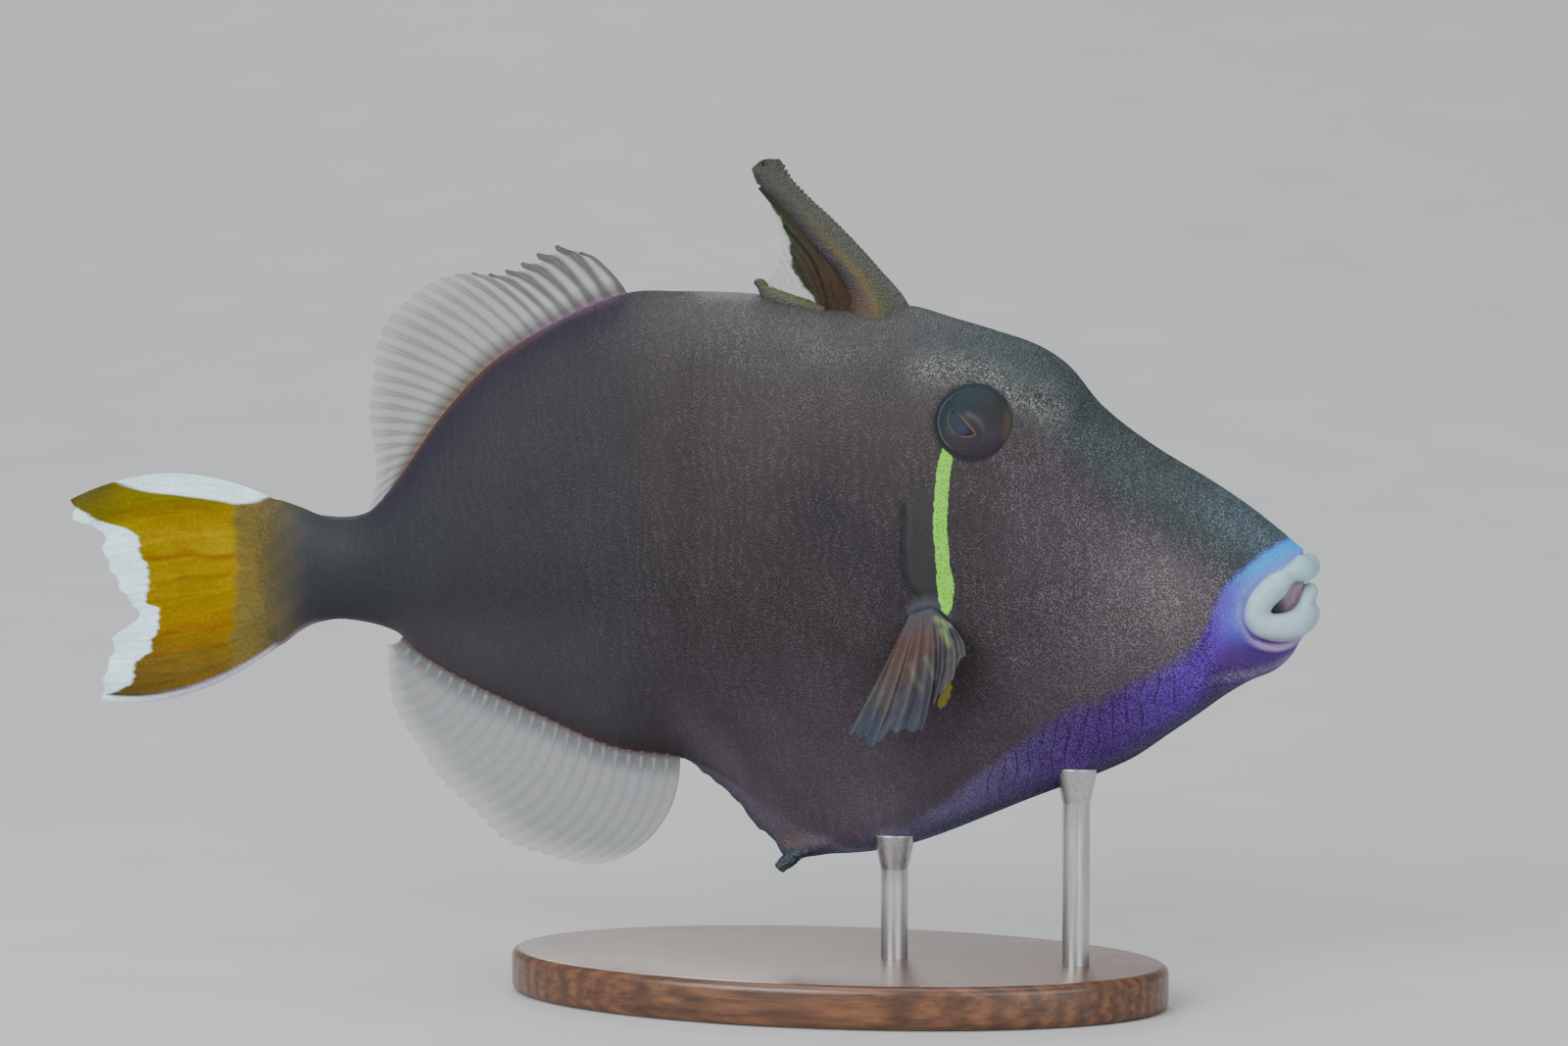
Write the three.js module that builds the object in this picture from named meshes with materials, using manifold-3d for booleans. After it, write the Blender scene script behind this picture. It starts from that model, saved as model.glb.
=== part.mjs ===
// Halfmoon triggerfish, a life-size still model on a plain display stand.
// Millimetres. +X points to the snout, +Y to the fish's left side, +Z up.
// The origin lies on the underside of the stand's base.
import * as THREE from 'three';
import { mergeVertices } from 'three/addons/utils/BufferGeometryUtils.js';
import Module from 'manifold-3d';

const wasm = await Module();
wasm.setup();

// Gap that is kept between pieces that touch
const GAP = 0.3;

// Lengths along the body
const SNOUT_X = 86;
const STALK_FRONT_X = -88.5;
const STALK_END_X = -111;

// Side view of the body, each row an x and the height there
const BACK_LINE = [
  [86, 85], [81.4, 88.8], [76.4, 92.6], [70, 96.8], [58.5, 103.6], [49.5, 110.4], [43.5, 117.4],
  [37.7, 121.2], [30, 123.8], [22, 126.1], [14, 127.8], [5, 128.5], [-15, 130.3], [-30, 130.7], [-40, 130.3],
  [-52.3, 125.6], [-66.7, 117], [-76.4, 107.1], [-86.2, 93.8], [-91.5, 88.6], [-101, 88.6], [-111, 92],
];
const BELLY_LINE = [
  [86, 69.2], [84.4, 65.4], [81.2, 62.8], [76, 60.3], [69.5, 57], [63.3, 51.2], [54.3, 45.7], [36.2, 38.2],
  [17.9, 30.5], [8.6, 27.9], [2, 28], [-5, 30.8], [-14, 36], [-22, 41], [-29, 43.6], [-43.1, 45.4],
  [-57.4, 51], [-71.9, 57.1], [-81.5, 62.4], [-86, 66.2], [-96, 68.2], [-103, 66.6], [-111, 62.8],
];
// Height at which the body is widest, and half its width there
const WIDEST_LINE = [
  [86, 77.5], [76, 76], [60, 79], [40, 83], [10, 83], [-20, 82], [-60, 83], [-90, 79], [-111, 78],
];
const HALF_WIDTH = [
  [86, 2.6], [84, 4.2], [80, 6.2], [76, 7.6], [70, 9.2], [60, 11.3], [50, 13.3], [40, 15.1], [30, 16.6],
  [20, 17.7], [8, 18.3], [-8, 17.9], [-25, 16.2], [-45, 13.2], [-65, 9.8], [-80, 7.2], [-90, 5.4],
  [-100, 4.2], [-107, 3.2], [-111, 2.3],
];
// Sharpness of the back and of the belly: 1 is an ellipse, more is a keel
const BACK_SHARPNESS = [[86, 1.1], [60, 1.15], [20, 1.2], [-40, 1.35], [-85, 1.3], [-111, 1.1]];
const BELLY_SHARPNESS = [[86, 1.1], [60, 1.25], [30, 1.55], [0, 1.75], [-30, 1.5], [-85, 1.3], [-111, 1.1]];

// The tail swings a little to the left
const SWING_START_X = -45;
const SWING_LENGTH = 105;
const SWING = 5;

// Line between head and trunk, along the gill slit and over the root of the pectoral fin
const HEAD_LINE = [
  [15.5, 150], [16, 112], [16.6, 92], [17, 85], [18.1, 79.7], [19.9, 76.8], [26.4, 76.6], [28.6, 71.5],
  [28, 62], [25, 46], [22, 10],
];
const GILL_SLIT = { low: 77.2, high: 91, width: 1, depth: 1.5 };

// Eye: where its middle meets the side of the head, its radius and how it is set
const EYE = { x: 29.1, z: 107.6, radius: 7.8, bulge: 4.2, sunk: 1.9, sides: 18, rings: 8 };
const NOSTRILS = [[39.4, 112.4], [41.4, 111.2]];
const NOSTRIL = { radius: 0.6, depth: 1.6, sides: 6 };
// Shallow groove that runs forward from the eye
const EYE_GROOVE = { from: [37.5, 107.5], to: [52, 100], depth: 0.9, width: 2.6 };

// Middle line of the near half of each lip, from the front to past the corner of the mouth, and its radius
const UPPER_LIP = {
  line: [
    [86.9, 0, 81.8], [86.3, 2.1, 81.5], [84, 3.9, 79.7], [81.2, 4.8, 76.9], [79.1, 5, 74.8], [77.2, 5.1, 72.2],
  ],
  radius: [2.3, 2.5, 2.35, 2.4, 2.4, 2.2],
};
const LOWER_LIP = {
  line: [
    [86.7, 0, 75.1], [86.1, 2.2, 74.4], [84.5, 3.8, 72.9], [82, 4.7, 72.1], [79.5, 5, 73.2], [77.2, 5.1, 75.6],
  ],
  radius: [2.75, 2.65, 2.45, 2.4, 2.45, 2.2],
};
const LIP = { steps: 22, sides: 8 };
const MOUTH = { x: 84.2, z: 76.6, length: 9.5, width: 3, height: 3, tilt: -0.12 };
const MOUTH_CORNER = { x: 83, z: 74.4 };

// Fins: number of rays, half thickness on a ray and between rays
const FIN = { rayRoot: 0.62, rayTip: 0.32, webRoot: 0.34, webTip: 0.25, sunk: 3.5, notch: 0.035 };
const SECOND_DORSAL = {
  rays: 27,
  rows: 5,
  base: [
    [-40, 130.2], [-46.5, 128.3], [-52.3, 125.6], [-59.5, 121.6], [-66.7, 117], [-76.4, 107.1], [-85.6, 94.6],
  ],
  edge: [
    [-46, 137], [-49.5, 139.2], [-53, 139], [-60.3, 135.6], [-71.5, 134], [-79.2, 131.7], [-85.5, 125.3],
    [-90.2, 117.8], [-91, 106], [-90.3, 96], [-91.6, 89.8],
  ],
  bow: 0.06,
  wave: { height: 1.6, turns: 9, start: -0.4 },
};
const ANAL = {
  rays: 25,
  rows: 5,
  base: [[-30, 43.8], [-43.1, 45.4], [-57.4, 51], [-71.9, 57.1], [-81.5, 62.4], [-84.6, 65]],
  edge: [
    [-43.5, 23.6], [-48.5, 22.9], [-55.6, 23.9], [-63.3, 27], [-71, 33.5], [-78.7, 41.1], [-85.5, 49.3],
    [-88, 56.5], [-88, 63.6],
  ],
  bow: -0.16,
  wave: { height: 2, turns: 8, start: 0.8 },
};
const CAUDAL = {
  rays: 12,
  rows: 7,
  base: [[-109.4, 90.6], [-109.4, 84.5], [-109.4, 77.5], [-109.4, 70.5], [-109.4, 65.6]],
  edge: [
    [-154.6, 90.6], [-151.2, 84.6], [-147, 82], [-146.2, 77.6], [-142.6, 73], [-137, 68], [-139, 64.4],
    [-144.8, 59.6], [-147.6, 50.8],
  ],
  bow: [0.235, 0.2],
  rootHalf: 1.35,
  rib: { root: 0.34, tip: 0.16 },
  // Shares of a ray's length where its rib starts to fork and has forked
  fork: { start: 0.25, end: 0.67 },
  wave: { height: 1.5, turns: 5.2, start: 0.6 },
};
const PECTORAL = {
  rays: 13,
  rows: 5,
  // Root on the body's side and free edge, with the distance out from the body's middle
  base: [[24.6, -17.2, 72.4], [21.6, -17.4, 74.6], [17.8, -17.6, 73.6]],
  edge: [
    [29, -21.5, 66.6], [28.4, -23.5, 61.6], [24.6, -25, 56], [20.6, -26, 51.4], [16, -26.2, 52.2],
    [11.6, -26, 49.8], [7.6, -25, 51.4],
  ],
  out: [0.25, -0.9, -0.2],
  rootHalf: 0.8,
  rib: 0.16,
  swell: 0.06,
  pleat: 0.3,
  notch: 0.04,
};

// Spines of the first dorsal fin: middle line, width in side view and thickness at root and tip
const FIRST_SPINE = {
  line: [[11, 124.6], [5.6, 132.1], [-1.8, 141.8], [-7.7, 148.3], [-13.8, 154.2]],
  width: [10.6, 7.4, 6, 5.3, 4.2],
  thickness: [4.6, 3.8, 3, 2.4, 1.8],
  teeth: 11,
  tooth: 0.35,
  steps: 33,
};
const SECOND_SPINE = {
  line: [[-2.6, 127.4], [-8.6, 130.9], [-13.2, 131.9], [-15.2, 133.1]],
  width: [2.6, 2.6, 2.4, 1.1],
  thickness: [2, 1.8, 1.6, 0.8],
  teeth: 3,
  tooth: 0.12,
  steps: 9,
};
const SPINE_MEMBRANE = {
  // From the back of the first spine to the free rear edge
  front: [[-12.6, 149], [-5.2, 140.4], [0.6, 132.6], [4, 126]],
  rear: [[-14.4, 149.2], [-10.6, 140.6], [-9.6, 135.6], [-3.4, 127]],
  half: 0.3,
  columns: 7,
  rows: 4,
  wave: { height: 0.5, turns: 7, start: 0 },
};

// Pelvic spine and the flap of skin behind it
const PELVIC_SPINE = {
  line: [[1.5, 29.4], [-4.5, 26.9], [-8.8, 25], [-11.2, 23.5]],
  width: [3, 2.9, 2.6, 1.5],
  thickness: [3.4, 3, 2.6, 1.5],
  teeth: 4,
  tooth: 0.25,
  steps: 12,
};
const FLAP = { bristles: 9, bristle: 0.8, from: 0.45, rows: 4, halfRoot: 1.3, halfEdge: 0.35 };
const FLAP_EDGE = [
  [5.5, 27.4], [-2, 26.6], [-9.6, 27.4], [-12.4, 30.4], [-15.6, 34.7], [-20.3, 39.1], [-26, 42.3],
];
const FLAP_ROOT = [[5.5, 32], [-2, 33], [-9, 37], [-14, 41], [-18.5, 44], [-23, 46], [-27.5, 47.5]];

// Stand: an oval base with a rounded rim, and two rods with cradles under the keel
const BASE = { length: 124, width: 68, height: 8, round: 1.6, facets: 40 };
const ROD = { radius: 2.5, sides: 16, cradleRadius: 4, cradleBelow: 4, cradleAbove: 2.6 };
const ROD_X = { front: 45, rear: 11 };

// How finely the body is divided
const BODY_SIDES = 32;
const BODY_STEP = { snout: 1.8, trunk: 4.6, reach: 45 };
const KEEL_HALF = 0.2;
const SPINE_SIDES = 8;
// A box well outside the fish, for cuts that go right through it
const AROUND = { front: 120, rear: -140, top: 150, low: 10, half: 40 };

const ACROSS = new THREE.Vector3(0, 1, 0);
const FLESH = { roughness: 0.62, metalness: 0 };
const COLOURS = {
  head: 0x5f5358,
  lip: 0xb3cccb,
  eye: 0x3c4a50,
  trunk: 0x51474d,
  stalk: 0x47505a,
  caudal: 0xc08f1c,
  clearFin: 0x9a9fa3,
  pectoral: 0x7c6a68,
  spine: 0x6f7548,
  pelvic: 0x34454b,
  base: 0x4a2f20,
  rod: 0xb4b7ba,
};

// A smooth curve through rows of [x, value], read at any x
function graph(rows) {
  const sorted = [...rows].sort((a, b) => a[0] - b[0]);
  const slopes = sorted.map((row, i) => {
    const before = sorted[Math.max(i - 1, 0)];
    const after = sorted[Math.min(i + 1, sorted.length - 1)];
    return (after[1] - before[1]) / (after[0] - before[0]);
  });
  return (x) => {
    let i = 0;
    while (i < sorted.length - 2 && x > sorted[i + 1][0]) i += 1;
    const [x0, v0] = sorted[i];
    const [x1, v1] = sorted[i + 1];
    const span = x1 - x0;
    const t = THREE.MathUtils.clamp((x - x0) / span, 0, 1);
    const t2 = t * t;
    const t3 = t2 * t;
    return (2 * t3 - 3 * t2 + 1) * v0 + (t3 - 2 * t2 + t) * span * slopes[i]
      + (3 * t2 - 2 * t3) * v1 + (t3 - t2) * span * slopes[i + 1];
  };
}

const backAt = graph(BACK_LINE);
const bellyAt = graph(BELLY_LINE);
const widestAt = graph(WIDEST_LINE);
const halfWidthAt = graph(HALF_WIDTH);
const backSharpnessAt = graph(BACK_SHARPNESS);
const bellySharpnessAt = graph(BELLY_SHARPNESS);

function swingAt(x) {
  const t = Math.max(0, SWING_START_X - x) / SWING_LENGTH;
  return SWING * t * t;
}

// How much the groove in front of the eye lowers the skin
function grooveAt(x, z) {
  const from = new THREE.Vector2(...EYE_GROOVE.from);
  const to = new THREE.Vector2(...EYE_GROOVE.to);
  const along = to.clone().sub(from);
  const point = new THREE.Vector2(x, z).sub(from);
  const t = THREE.MathUtils.clamp(point.dot(along) / along.lengthSq(), 0, 1);
  const distance = point.sub(along.multiplyScalar(t)).length();
  return EYE_GROOVE.depth * Math.exp(-((distance / EYE_GROOVE.width) ** 2));
}

// Half the body's thickness at a place in the side view
function halfBodyAt(x, z) {
  const up = z > widestAt(x);
  const reach = up ? backAt(x) - widestAt(x) : widestAt(x) - bellyAt(x);
  const share = Math.min(Math.abs(z - widestAt(x)) / reach, 1);
  const sharpness = up ? backSharpnessAt(x) : bellySharpnessAt(x);
  return halfWidthAt(x) * (1 - share * share) ** (sharpness / 2) - grooveAt(x, z);
}

// Closed geometry from points and triangles, with its faces turned outwards
function closedGeometry(points, index) {
  let volume = 0;
  for (let i = 0; i < index.length; i += 3) {
    const [a, b, c] = [points[index[i]], points[index[i + 1]], points[index[i + 2]]];
    volume += a.dot(b.clone().cross(c));
  }
  const order = volume > 0 ? index : [...index].reverse();
  const geometry = new THREE.BufferGeometry();
  const numbers = points.flatMap((p) => [p.x, p.y, p.z]);
  geometry.setAttribute('position', new THREE.Float32BufferAttribute(numbers, 3));
  geometry.setIndex(order);
  return geometry;
}

// Closed body through rings of points; a looped one joins its last ring to its first
function loft(rings, looped = false) {
  const sides = rings[0].length;
  const points = rings.flat();
  const index = [];
  const bands = looped ? rings.length : rings.length - 1;
  for (let r = 0; r < bands; r += 1) {
    const next = (r + 1) % rings.length;
    for (let s = 0; s < sides; s += 1) {
      const t = (s + 1) % sides;
      const [a, b, c, d] = [r * sides + s, r * sides + t, next * sides + t, next * sides + s];
      index.push(a, b, c, a, c, d);
    }
  }
  if (looped) return closedGeometry(points, index);
  for (const r of [0, rings.length - 1]) {
    const middle = rings[r].reduce((sum, p) => sum.add(p), new THREE.Vector3()).divideScalar(sides);
    const hub = points.push(middle) - 1;
    for (let s = 0; s < sides; s += 1) {
      const [a, b] = [r * sides + s, r * sides + (s + 1) % sides];
      if (r === 0) index.push(hub, b, a);
      else index.push(hub, a, b);
    }
  }
  return closedGeometry(points, index);
}

// Thin blade from a grid of middle points, split alike on both faces
function blade(columns, rows, middle, half, out) {
  const points = [];
  for (const face of [1, -1]) {
    for (let c = 0; c < columns; c += 1) {
      for (let r = 0; r < rows; r += 1) points.push(middle(c, r).addScaledVector(out, face * half(c, r)));
    }
  }
  const id = (face, c, r) => (face * columns + c) * rows + r;
  const index = [];
  for (let c = 0; c < columns - 1; c += 1) {
    for (let r = 0; r < rows - 1; r += 1) {
      const corners = [[c, r], [c + 1, r], [c + 1, r + 1], [c, r + 1]];
      const [a, b, d, e] = corners.map(([i, j]) => id(0, i, j));
      index.push(a, b, d, a, d, e);
      const [f, g, h, k] = corners.map(([i, j]) => id(1, i, j));
      index.push(f, h, g, f, k, h);
    }
  }
  const rim = [];
  for (let c = 0; c < columns - 1; c += 1) rim.push([c, 0]);
  for (let r = 0; r < rows - 1; r += 1) rim.push([columns - 1, r]);
  for (let c = columns - 1; c > 0; c -= 1) rim.push([c, rows - 1]);
  for (let r = rows - 1; r > 0; r -= 1) rim.push([0, r]);
  rim.forEach(([c, r], i) => {
    const [nc, nr] = rim[(i + 1) % rim.length];
    const [a, b, d, e] = [id(0, c, r), id(0, nc, nr), id(1, nc, nr), id(1, c, r)];
    index.push(a, d, b, a, e, d);
  });
  return closedGeometry(points, index);
}

function toSolid(geometry) {
  const bare = geometry.clone();
  bare.deleteAttribute('normal');
  bare.deleteAttribute('uv');
  const merged = mergeVertices(bare, 1e-4);
  const vertProperties = new Float32Array(merged.attributes.position.array);
  const triVerts = new Uint32Array(merged.index.array);
  return new wasm.Manifold(new wasm.Mesh({ numProp: 3, vertProperties, triVerts }));
}

function largest(solid) {
  return solid.decompose().sort((a, b) => b.volume() - a.volume())[0];
}

function toGeometry(solid) {
  const mesh = largest(solid).getMesh();
  const geometry = new THREE.BufferGeometry();
  geometry.setAttribute('position', new THREE.BufferAttribute(mesh.vertProperties, 3));
  geometry.setIndex(new THREE.BufferAttribute(mesh.triVerts, 1));
  geometry.computeVertexNormals();
  return geometry;
}

function toMesh(name, geometry, color, finish = FLESH) {
  const mesh = new THREE.Mesh(geometry, new THREE.MeshStandardMaterial({ color, ...finish }));
  mesh.name = name;
  return mesh;
}

// Places of the body's sections, close together at the snout
function stations() {
  const places = [SNOUT_X];
  while (places[places.length - 1] > STALK_END_X + BODY_STEP.trunk / 2) {
    const x = places[places.length - 1];
    const share = Math.min((SNOUT_X - x) / BODY_STEP.reach, 1);
    places.push(x - THREE.MathUtils.lerp(BODY_STEP.snout, BODY_STEP.trunk, share));
  }
  places[places.length - 1] = STALK_END_X;
  return places;
}

// The whole body, grown outwards (or drawn in, below zero) by a small distance
function bodySolid(grow = 0) {
  const rings = [];
  const places = stations();
  for (const x of places) {
    const end = Number(x === SNOUT_X) - Number(x === STALK_END_X);
    const ring = [];
    for (let s = 0; s < BODY_SIDES; s += 1) {
      const angle = (2 * Math.PI * (s + 0.5)) / BODY_SIDES;
      const [across, lift] = [Math.cos(angle), Math.sin(angle)];
      const up = lift > 0;
      const reach = up ? backAt(x) - widestAt(x) : widestAt(x) - bellyAt(x);
      const sharpness = up ? backSharpnessAt(x) : bellySharpnessAt(x);
      const z = widestAt(x) + (reach + grow) * lift;
      const bare = halfWidthAt(x) * Math.abs(across) ** sharpness;
      const y = bare + grow - grooveAt(x, z) * Math.min(bare / EYE_GROOVE.width, 1);
      const side = Math.sign(across) * Math.max(y, KEEL_HALF);
      ring.push(new THREE.Vector3(x + end * grow, side + swingAt(x), z));
    }
    rings.push(ring);
  }
  return toSolid(loft(rings));
}

// Slab through the body whose outline in the side view is a polygon
function sidePrism(outline) {
  const shape = new THREE.Shape(outline.map(([x, z]) => new THREE.Vector2(x, z)));
  const geometry = new THREE.ExtrudeGeometry(shape, { depth: 2 * AROUND.half, bevelEnabled: false });
  geometry.translate(0, 0, -AROUND.half);
  geometry.rotateX(Math.PI / 2);
  return toSolid(geometry);
}

// Point on the side of the body, and the direction out of it there; side is -1 right, 1 left
function skinPoint(x, z, side) {
  return new THREE.Vector3(x, side * halfBodyAt(x, z) + swingAt(x), z);
}

function skinNormal(x, z, side) {
  const step = 1;
  const slopeX = (halfBodyAt(x + step, z) - halfBodyAt(x - step, z)) / (2 * step);
  const slopeZ = (halfBodyAt(x, z + step) - halfBodyAt(x, z - step)) / (2 * step);
  return new THREE.Vector3(-slopeX, side, -slopeZ).normalize();
}

// A flattened ball set in the side of the head; grow makes the socket
function eyeGeometry(grow = 0) {
  const geometry = new THREE.SphereGeometry(1, EYE.sides, EYE.rings);
  geometry.scale(EYE.radius + grow, EYE.bulge + grow, EYE.radius + grow);
  return geometry;
}

function eyePlace(side) {
  const normal = skinNormal(EYE.x, EYE.z, side);
  return {
    position: skinPoint(EYE.x, EYE.z, side).addScaledVector(normal, -EYE.sunk),
    quaternion: new THREE.Quaternion().setFromUnitVectors(ACROSS, normal),
  };
}

function placed(geometry, { position, quaternion }) {
  const matrix = new THREE.Matrix4().compose(position, quaternion, new THREE.Vector3(1, 1, 1));
  return geometry.clone().applyMatrix4(matrix);
}

// Pits of the two nostrils in front of each eye
function nostrilPits() {
  const pits = [];
  for (const side of [-1, 1]) {
    for (const [x, z] of NOSTRILS) {
      const { radius, depth, sides } = NOSTRIL;
      const pit = new THREE.CylinderGeometry(radius, radius, 2 * depth, sides);
      const quaternion = new THREE.Quaternion().setFromUnitVectors(ACROSS, skinNormal(x, z, side));
      pits.push(toSolid(placed(pit, { position: skinPoint(x, z, side), quaternion })));
    }
  }
  return pits;
}

// One lip, a roll that runs from one corner of the mouth round the front to the other
function lipRoll({ line, radius }, grow = 0) {
  const far = line.slice(1).reverse().map(([x, y, z]) => new THREE.Vector3(x, y, z));
  const near = line.map(([x, y, z]) => new THREE.Vector3(x, -y, z));
  const curve = new THREE.CatmullRomCurve3([...far, ...near], false, 'centripetal');
  const radiusAt = graph([...radius.slice(1).reverse(), ...radius].map((r, i) => [i, r]));
  const last = far.length + near.length - 1;
  const { steps, sides } = LIP;
  const frames = curve.computeFrenetFrames(steps);
  const rings = [];
  for (let i = 0; i <= steps; i += 1) {
    const middle = curve.getPointAt(i / steps);
    const reach = radiusAt((i / steps) * last) + grow;
    const ring = [];
    for (let s = 0; s < sides; s += 1) {
      const angle = (2 * Math.PI * s) / sides;
      const across = frames.normals[i].clone().multiplyScalar(Math.cos(angle));
      const rim = across.addScaledVector(frames.binormals[i], Math.sin(angle));
      ring.push(middle.clone().addScaledVector(rim, reach));
    }
    rings.push(ring);
  }
  return toSolid(loft(rings));
}

// Hollow of the open mouth behind the lips
function mouthHollow() {
  const hollow = new THREE.SphereGeometry(1, 12, 6);
  hollow.scale(MOUTH.length, MOUTH.width, MOUTH.height);
  hollow.rotateY(MOUTH.tilt);
  hollow.translate(MOUTH.x, 0, MOUTH.z);
  return toSolid(hollow);
}

function gillSlit(drawnBody) {
  const slit = HEAD_LINE.filter(([, z]) => z > GILL_SLIT.low - 2 && z < GILL_SLIT.high + 2);
  const front = slit.map(([x, z]) => [x + GILL_SLIT.width / 2, z]);
  const rear = slit.map(([x, z]) => [x - GILL_SLIT.width / 2, z]).reverse();
  return sidePrism([...front, ...rear]).subtract(drawnBody);
}

// Smooth curve in the body's middle plane, swung with the tail
function planeCurve(rows) {
  const points = rows.map(([x, z]) => new THREE.Vector3(x, 0, z));
  const curve = new THREE.CatmullRomCurve3(points, false, 'centripetal');
  return (t) => {
    const point = curve.getPointAt(THREE.MathUtils.clamp(t, 0, 1));
    point.y = swingAt(point.x);
    return point;
  };
}

// Sideways wave of a fin, none at its root (s = 0) and full at its edge (s = 1)
function waveAt({ height, turns, start }, t, s) {
  return height * Math.max(s, 0) * Math.sin(turns * t + start);
}

// Fin on the middle plane: a ridge for each ray, thinner skin between, ray tips standing past the skin
function rayedFin({ rays, rows, base, edge, bow, wave }) {
  const baseAt = planeCurve(base);
  const edgeAt = planeCurve(edge);
  const columns = 2 * rays - 1;
  const middle = (c, r) => {
    const t = c / (columns - 1);
    const onRay = c % 2 === 0;
    const root = baseAt(t);
    const ray = edgeAt(t).sub(root);
    const length = ray.length();
    const sunk = FIN.sunk / length;
    const reach = (onRay ? 1 : 1 - FIN.notch) * (1 + sunk) * (r / (rows - 1)) - sunk;
    const bend = bow * 4 * Math.max(reach, 0) * (1 - reach);
    const point = root.addScaledVector(ray, reach).addScaledVector(new THREE.Vector3(ray.z, 0, -ray.x), bend);
    point.y = swingAt(point.x) + waveAt(wave, t, reach);
    return point;
  };
  const half = (c, r) => {
    const s = r / (rows - 1);
    return c % 2 === 0
      ? THREE.MathUtils.lerp(FIN.rayRoot, FIN.rayTip, s)
      : THREE.MathUtils.lerp(FIN.webRoot, FIN.webTip, s);
  };
  return toSolid(blade(columns, rows, middle, half, ACROSS));
}

// Tail fin: each ray forks half way out, so that a rib becomes two
function tailFin({ rays, rows, base, edge, bow, rootHalf, rib, fork, wave }) {
  const baseAt = planeCurve(base);
  const edgeAt = planeCurve(edge);
  const perRay = 4;
  const columns = perRay * rays + 1;
  const middle = (c, r) => {
    const t = c / (columns - 1);
    const s = r / (rows - 1);
    const notch = c % perRay === 0 ? FIN.notch : 0;
    const root = baseAt(t);
    const ray = edgeAt(t).sub(root);
    const swell = (0.5 - t) * ray.length() * THREE.MathUtils.lerp(...bow, t) * 4 * s * (1 - s);
    const point = root.addScaledVector(ray, s * (1 - notch));
    point.z += swell;
    point.y = swingAt(point.x) + waveAt(wave, t, s);
    return point;
  };
  const half = (c, r) => {
    const s = r / (rows - 1);
    const place = c % perRay;
    const forked = THREE.MathUtils.clamp((s - fork.start) / (fork.end - fork.start), 0, 1);
    const ridge = [0, forked, 1 - forked, forked][place];
    const web = THREE.MathUtils.lerp(rootHalf, FIN.webTip, Math.min(1, s * 2.2));
    return web + ridge * THREE.MathUtils.lerp(rib.root, rib.tip, s);
  };
  return toSolid(blade(columns, rows, middle, half, ACROSS));
}

// Pectoral fin of the right side, a pleated fan that hangs down and back
function pectoralFin({ rays, rows, base, edge, out, rootHalf, rib, swell, pleat, notch }) {
  const baseCurve = new THREE.CatmullRomCurve3(base.map((p) => new THREE.Vector3(...p)));
  const edgePoints = edge.map((p) => new THREE.Vector3(...p));
  const edgeCurve = new THREE.CatmullRomCurve3(edgePoints, false, 'centripetal');
  const outward = new THREE.Vector3(...out).normalize();
  const columns = 2 * rays - 1;
  const middle = (c, r) => {
    const t = c / (columns - 1);
    const s = r / (rows - 1);
    const onRay = c % 2 === 0;
    const root = baseCurve.getPoint(t);
    const ray = edgeCurve.getPointAt(t).sub(root);
    const lift = Math.sin(Math.PI * s) * swell * ray.length() + (onRay ? pleat : -pleat) * s;
    return root.addScaledVector(ray, s * (onRay ? 1 : 1 - notch)).addScaledVector(outward, lift);
  };
  const half = (c, r) => {
    const s = r / (rows - 1);
    const ridge = c % 2 === 0 ? rib : 0;
    return THREE.MathUtils.lerp(rootHalf, FIN.webTip, Math.min(1, 2 * s)) + ridge;
  };
  return toSolid(blade(columns, rows, middle, half, outward));
}

// Tapered spine in the middle plane, with teeth down its front
function spine({ line, width, thickness, teeth, tooth, steps }, grow = 0) {
  const lineAt = planeCurve(line);
  const share = (i) => i / (width.length - 1);
  const widthAt = graph(width.map((w, i) => [share(i), w]));
  const thicknessAt = graph(thickness.map((w, i) => [share(i), w]));
  const rings = [];
  for (let i = 0; i <= steps; i += 1) {
    const t = i / steps;
    const middle = lineAt(t);
    const tangent = lineAt(Math.min(1, t + 0.01)).sub(lineAt(Math.max(0, t - 0.01))).normalize();
    const forward = new THREE.Vector3(tangent.z, 0, -tangent.x);
    const ring = [];
    for (let s = 0; s < SPINE_SIDES; s += 1) {
      const angle = (2 * Math.PI * s) / SPINE_SIDES;
      const ahead = Math.max(0, Math.cos(angle));
      const bump = tooth * ahead * ahead * Math.sin(2 * Math.PI * teeth * t);
      const reach = (widthAt(t) / 2 + grow + bump) * Math.cos(angle);
      const point = middle.clone().addScaledVector(forward, reach);
      point.y += (thicknessAt(t) / 2 + grow) * Math.sin(angle);
      ring.push(point);
    }
    rings.push(ring);
  }
  return toSolid(loft(rings));
}

function spineMembrane({ front, rear, half, columns, rows, wave }) {
  const frontAt = planeCurve(front);
  const rearAt = planeCurve(rear);
  const middle = (c, r) => {
    const t = c / (columns - 1);
    const s = r / (rows - 1);
    const point = frontAt(t).lerp(rearAt(t), s);
    point.y += waveAt(wave, t, s);
    return point;
  };
  return toSolid(blade(columns, rows, middle, () => half, ACROSS));
}

// Flap of skin behind the pelvic spine, thin and fringed along its rear edge
function ventralFlap() {
  const rootAt = planeCurve(FLAP_ROOT);
  const edgeAt = planeCurve(FLAP_EDGE);
  const columns = 3 * FLAP.bristles;
  const { rows } = FLAP;
  const middle = (c, r) => {
    const t = c / (columns - 1);
    const s = r / (rows - 1);
    const point = rootAt(t).lerp(edgeAt(t), s);
    const onBristle = t > FLAP.from && c % 2 === 1 && r === rows - 1;
    if (onBristle) point.add(new THREE.Vector3(-FLAP.bristle, 0, -FLAP.bristle));
    return point;
  };
  const half = (c, r) => THREE.MathUtils.lerp(FLAP.halfRoot, FLAP.halfEdge, r / (rows - 1));
  return toSolid(blade(columns, rows, middle, half, ACROSS));
}

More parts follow.
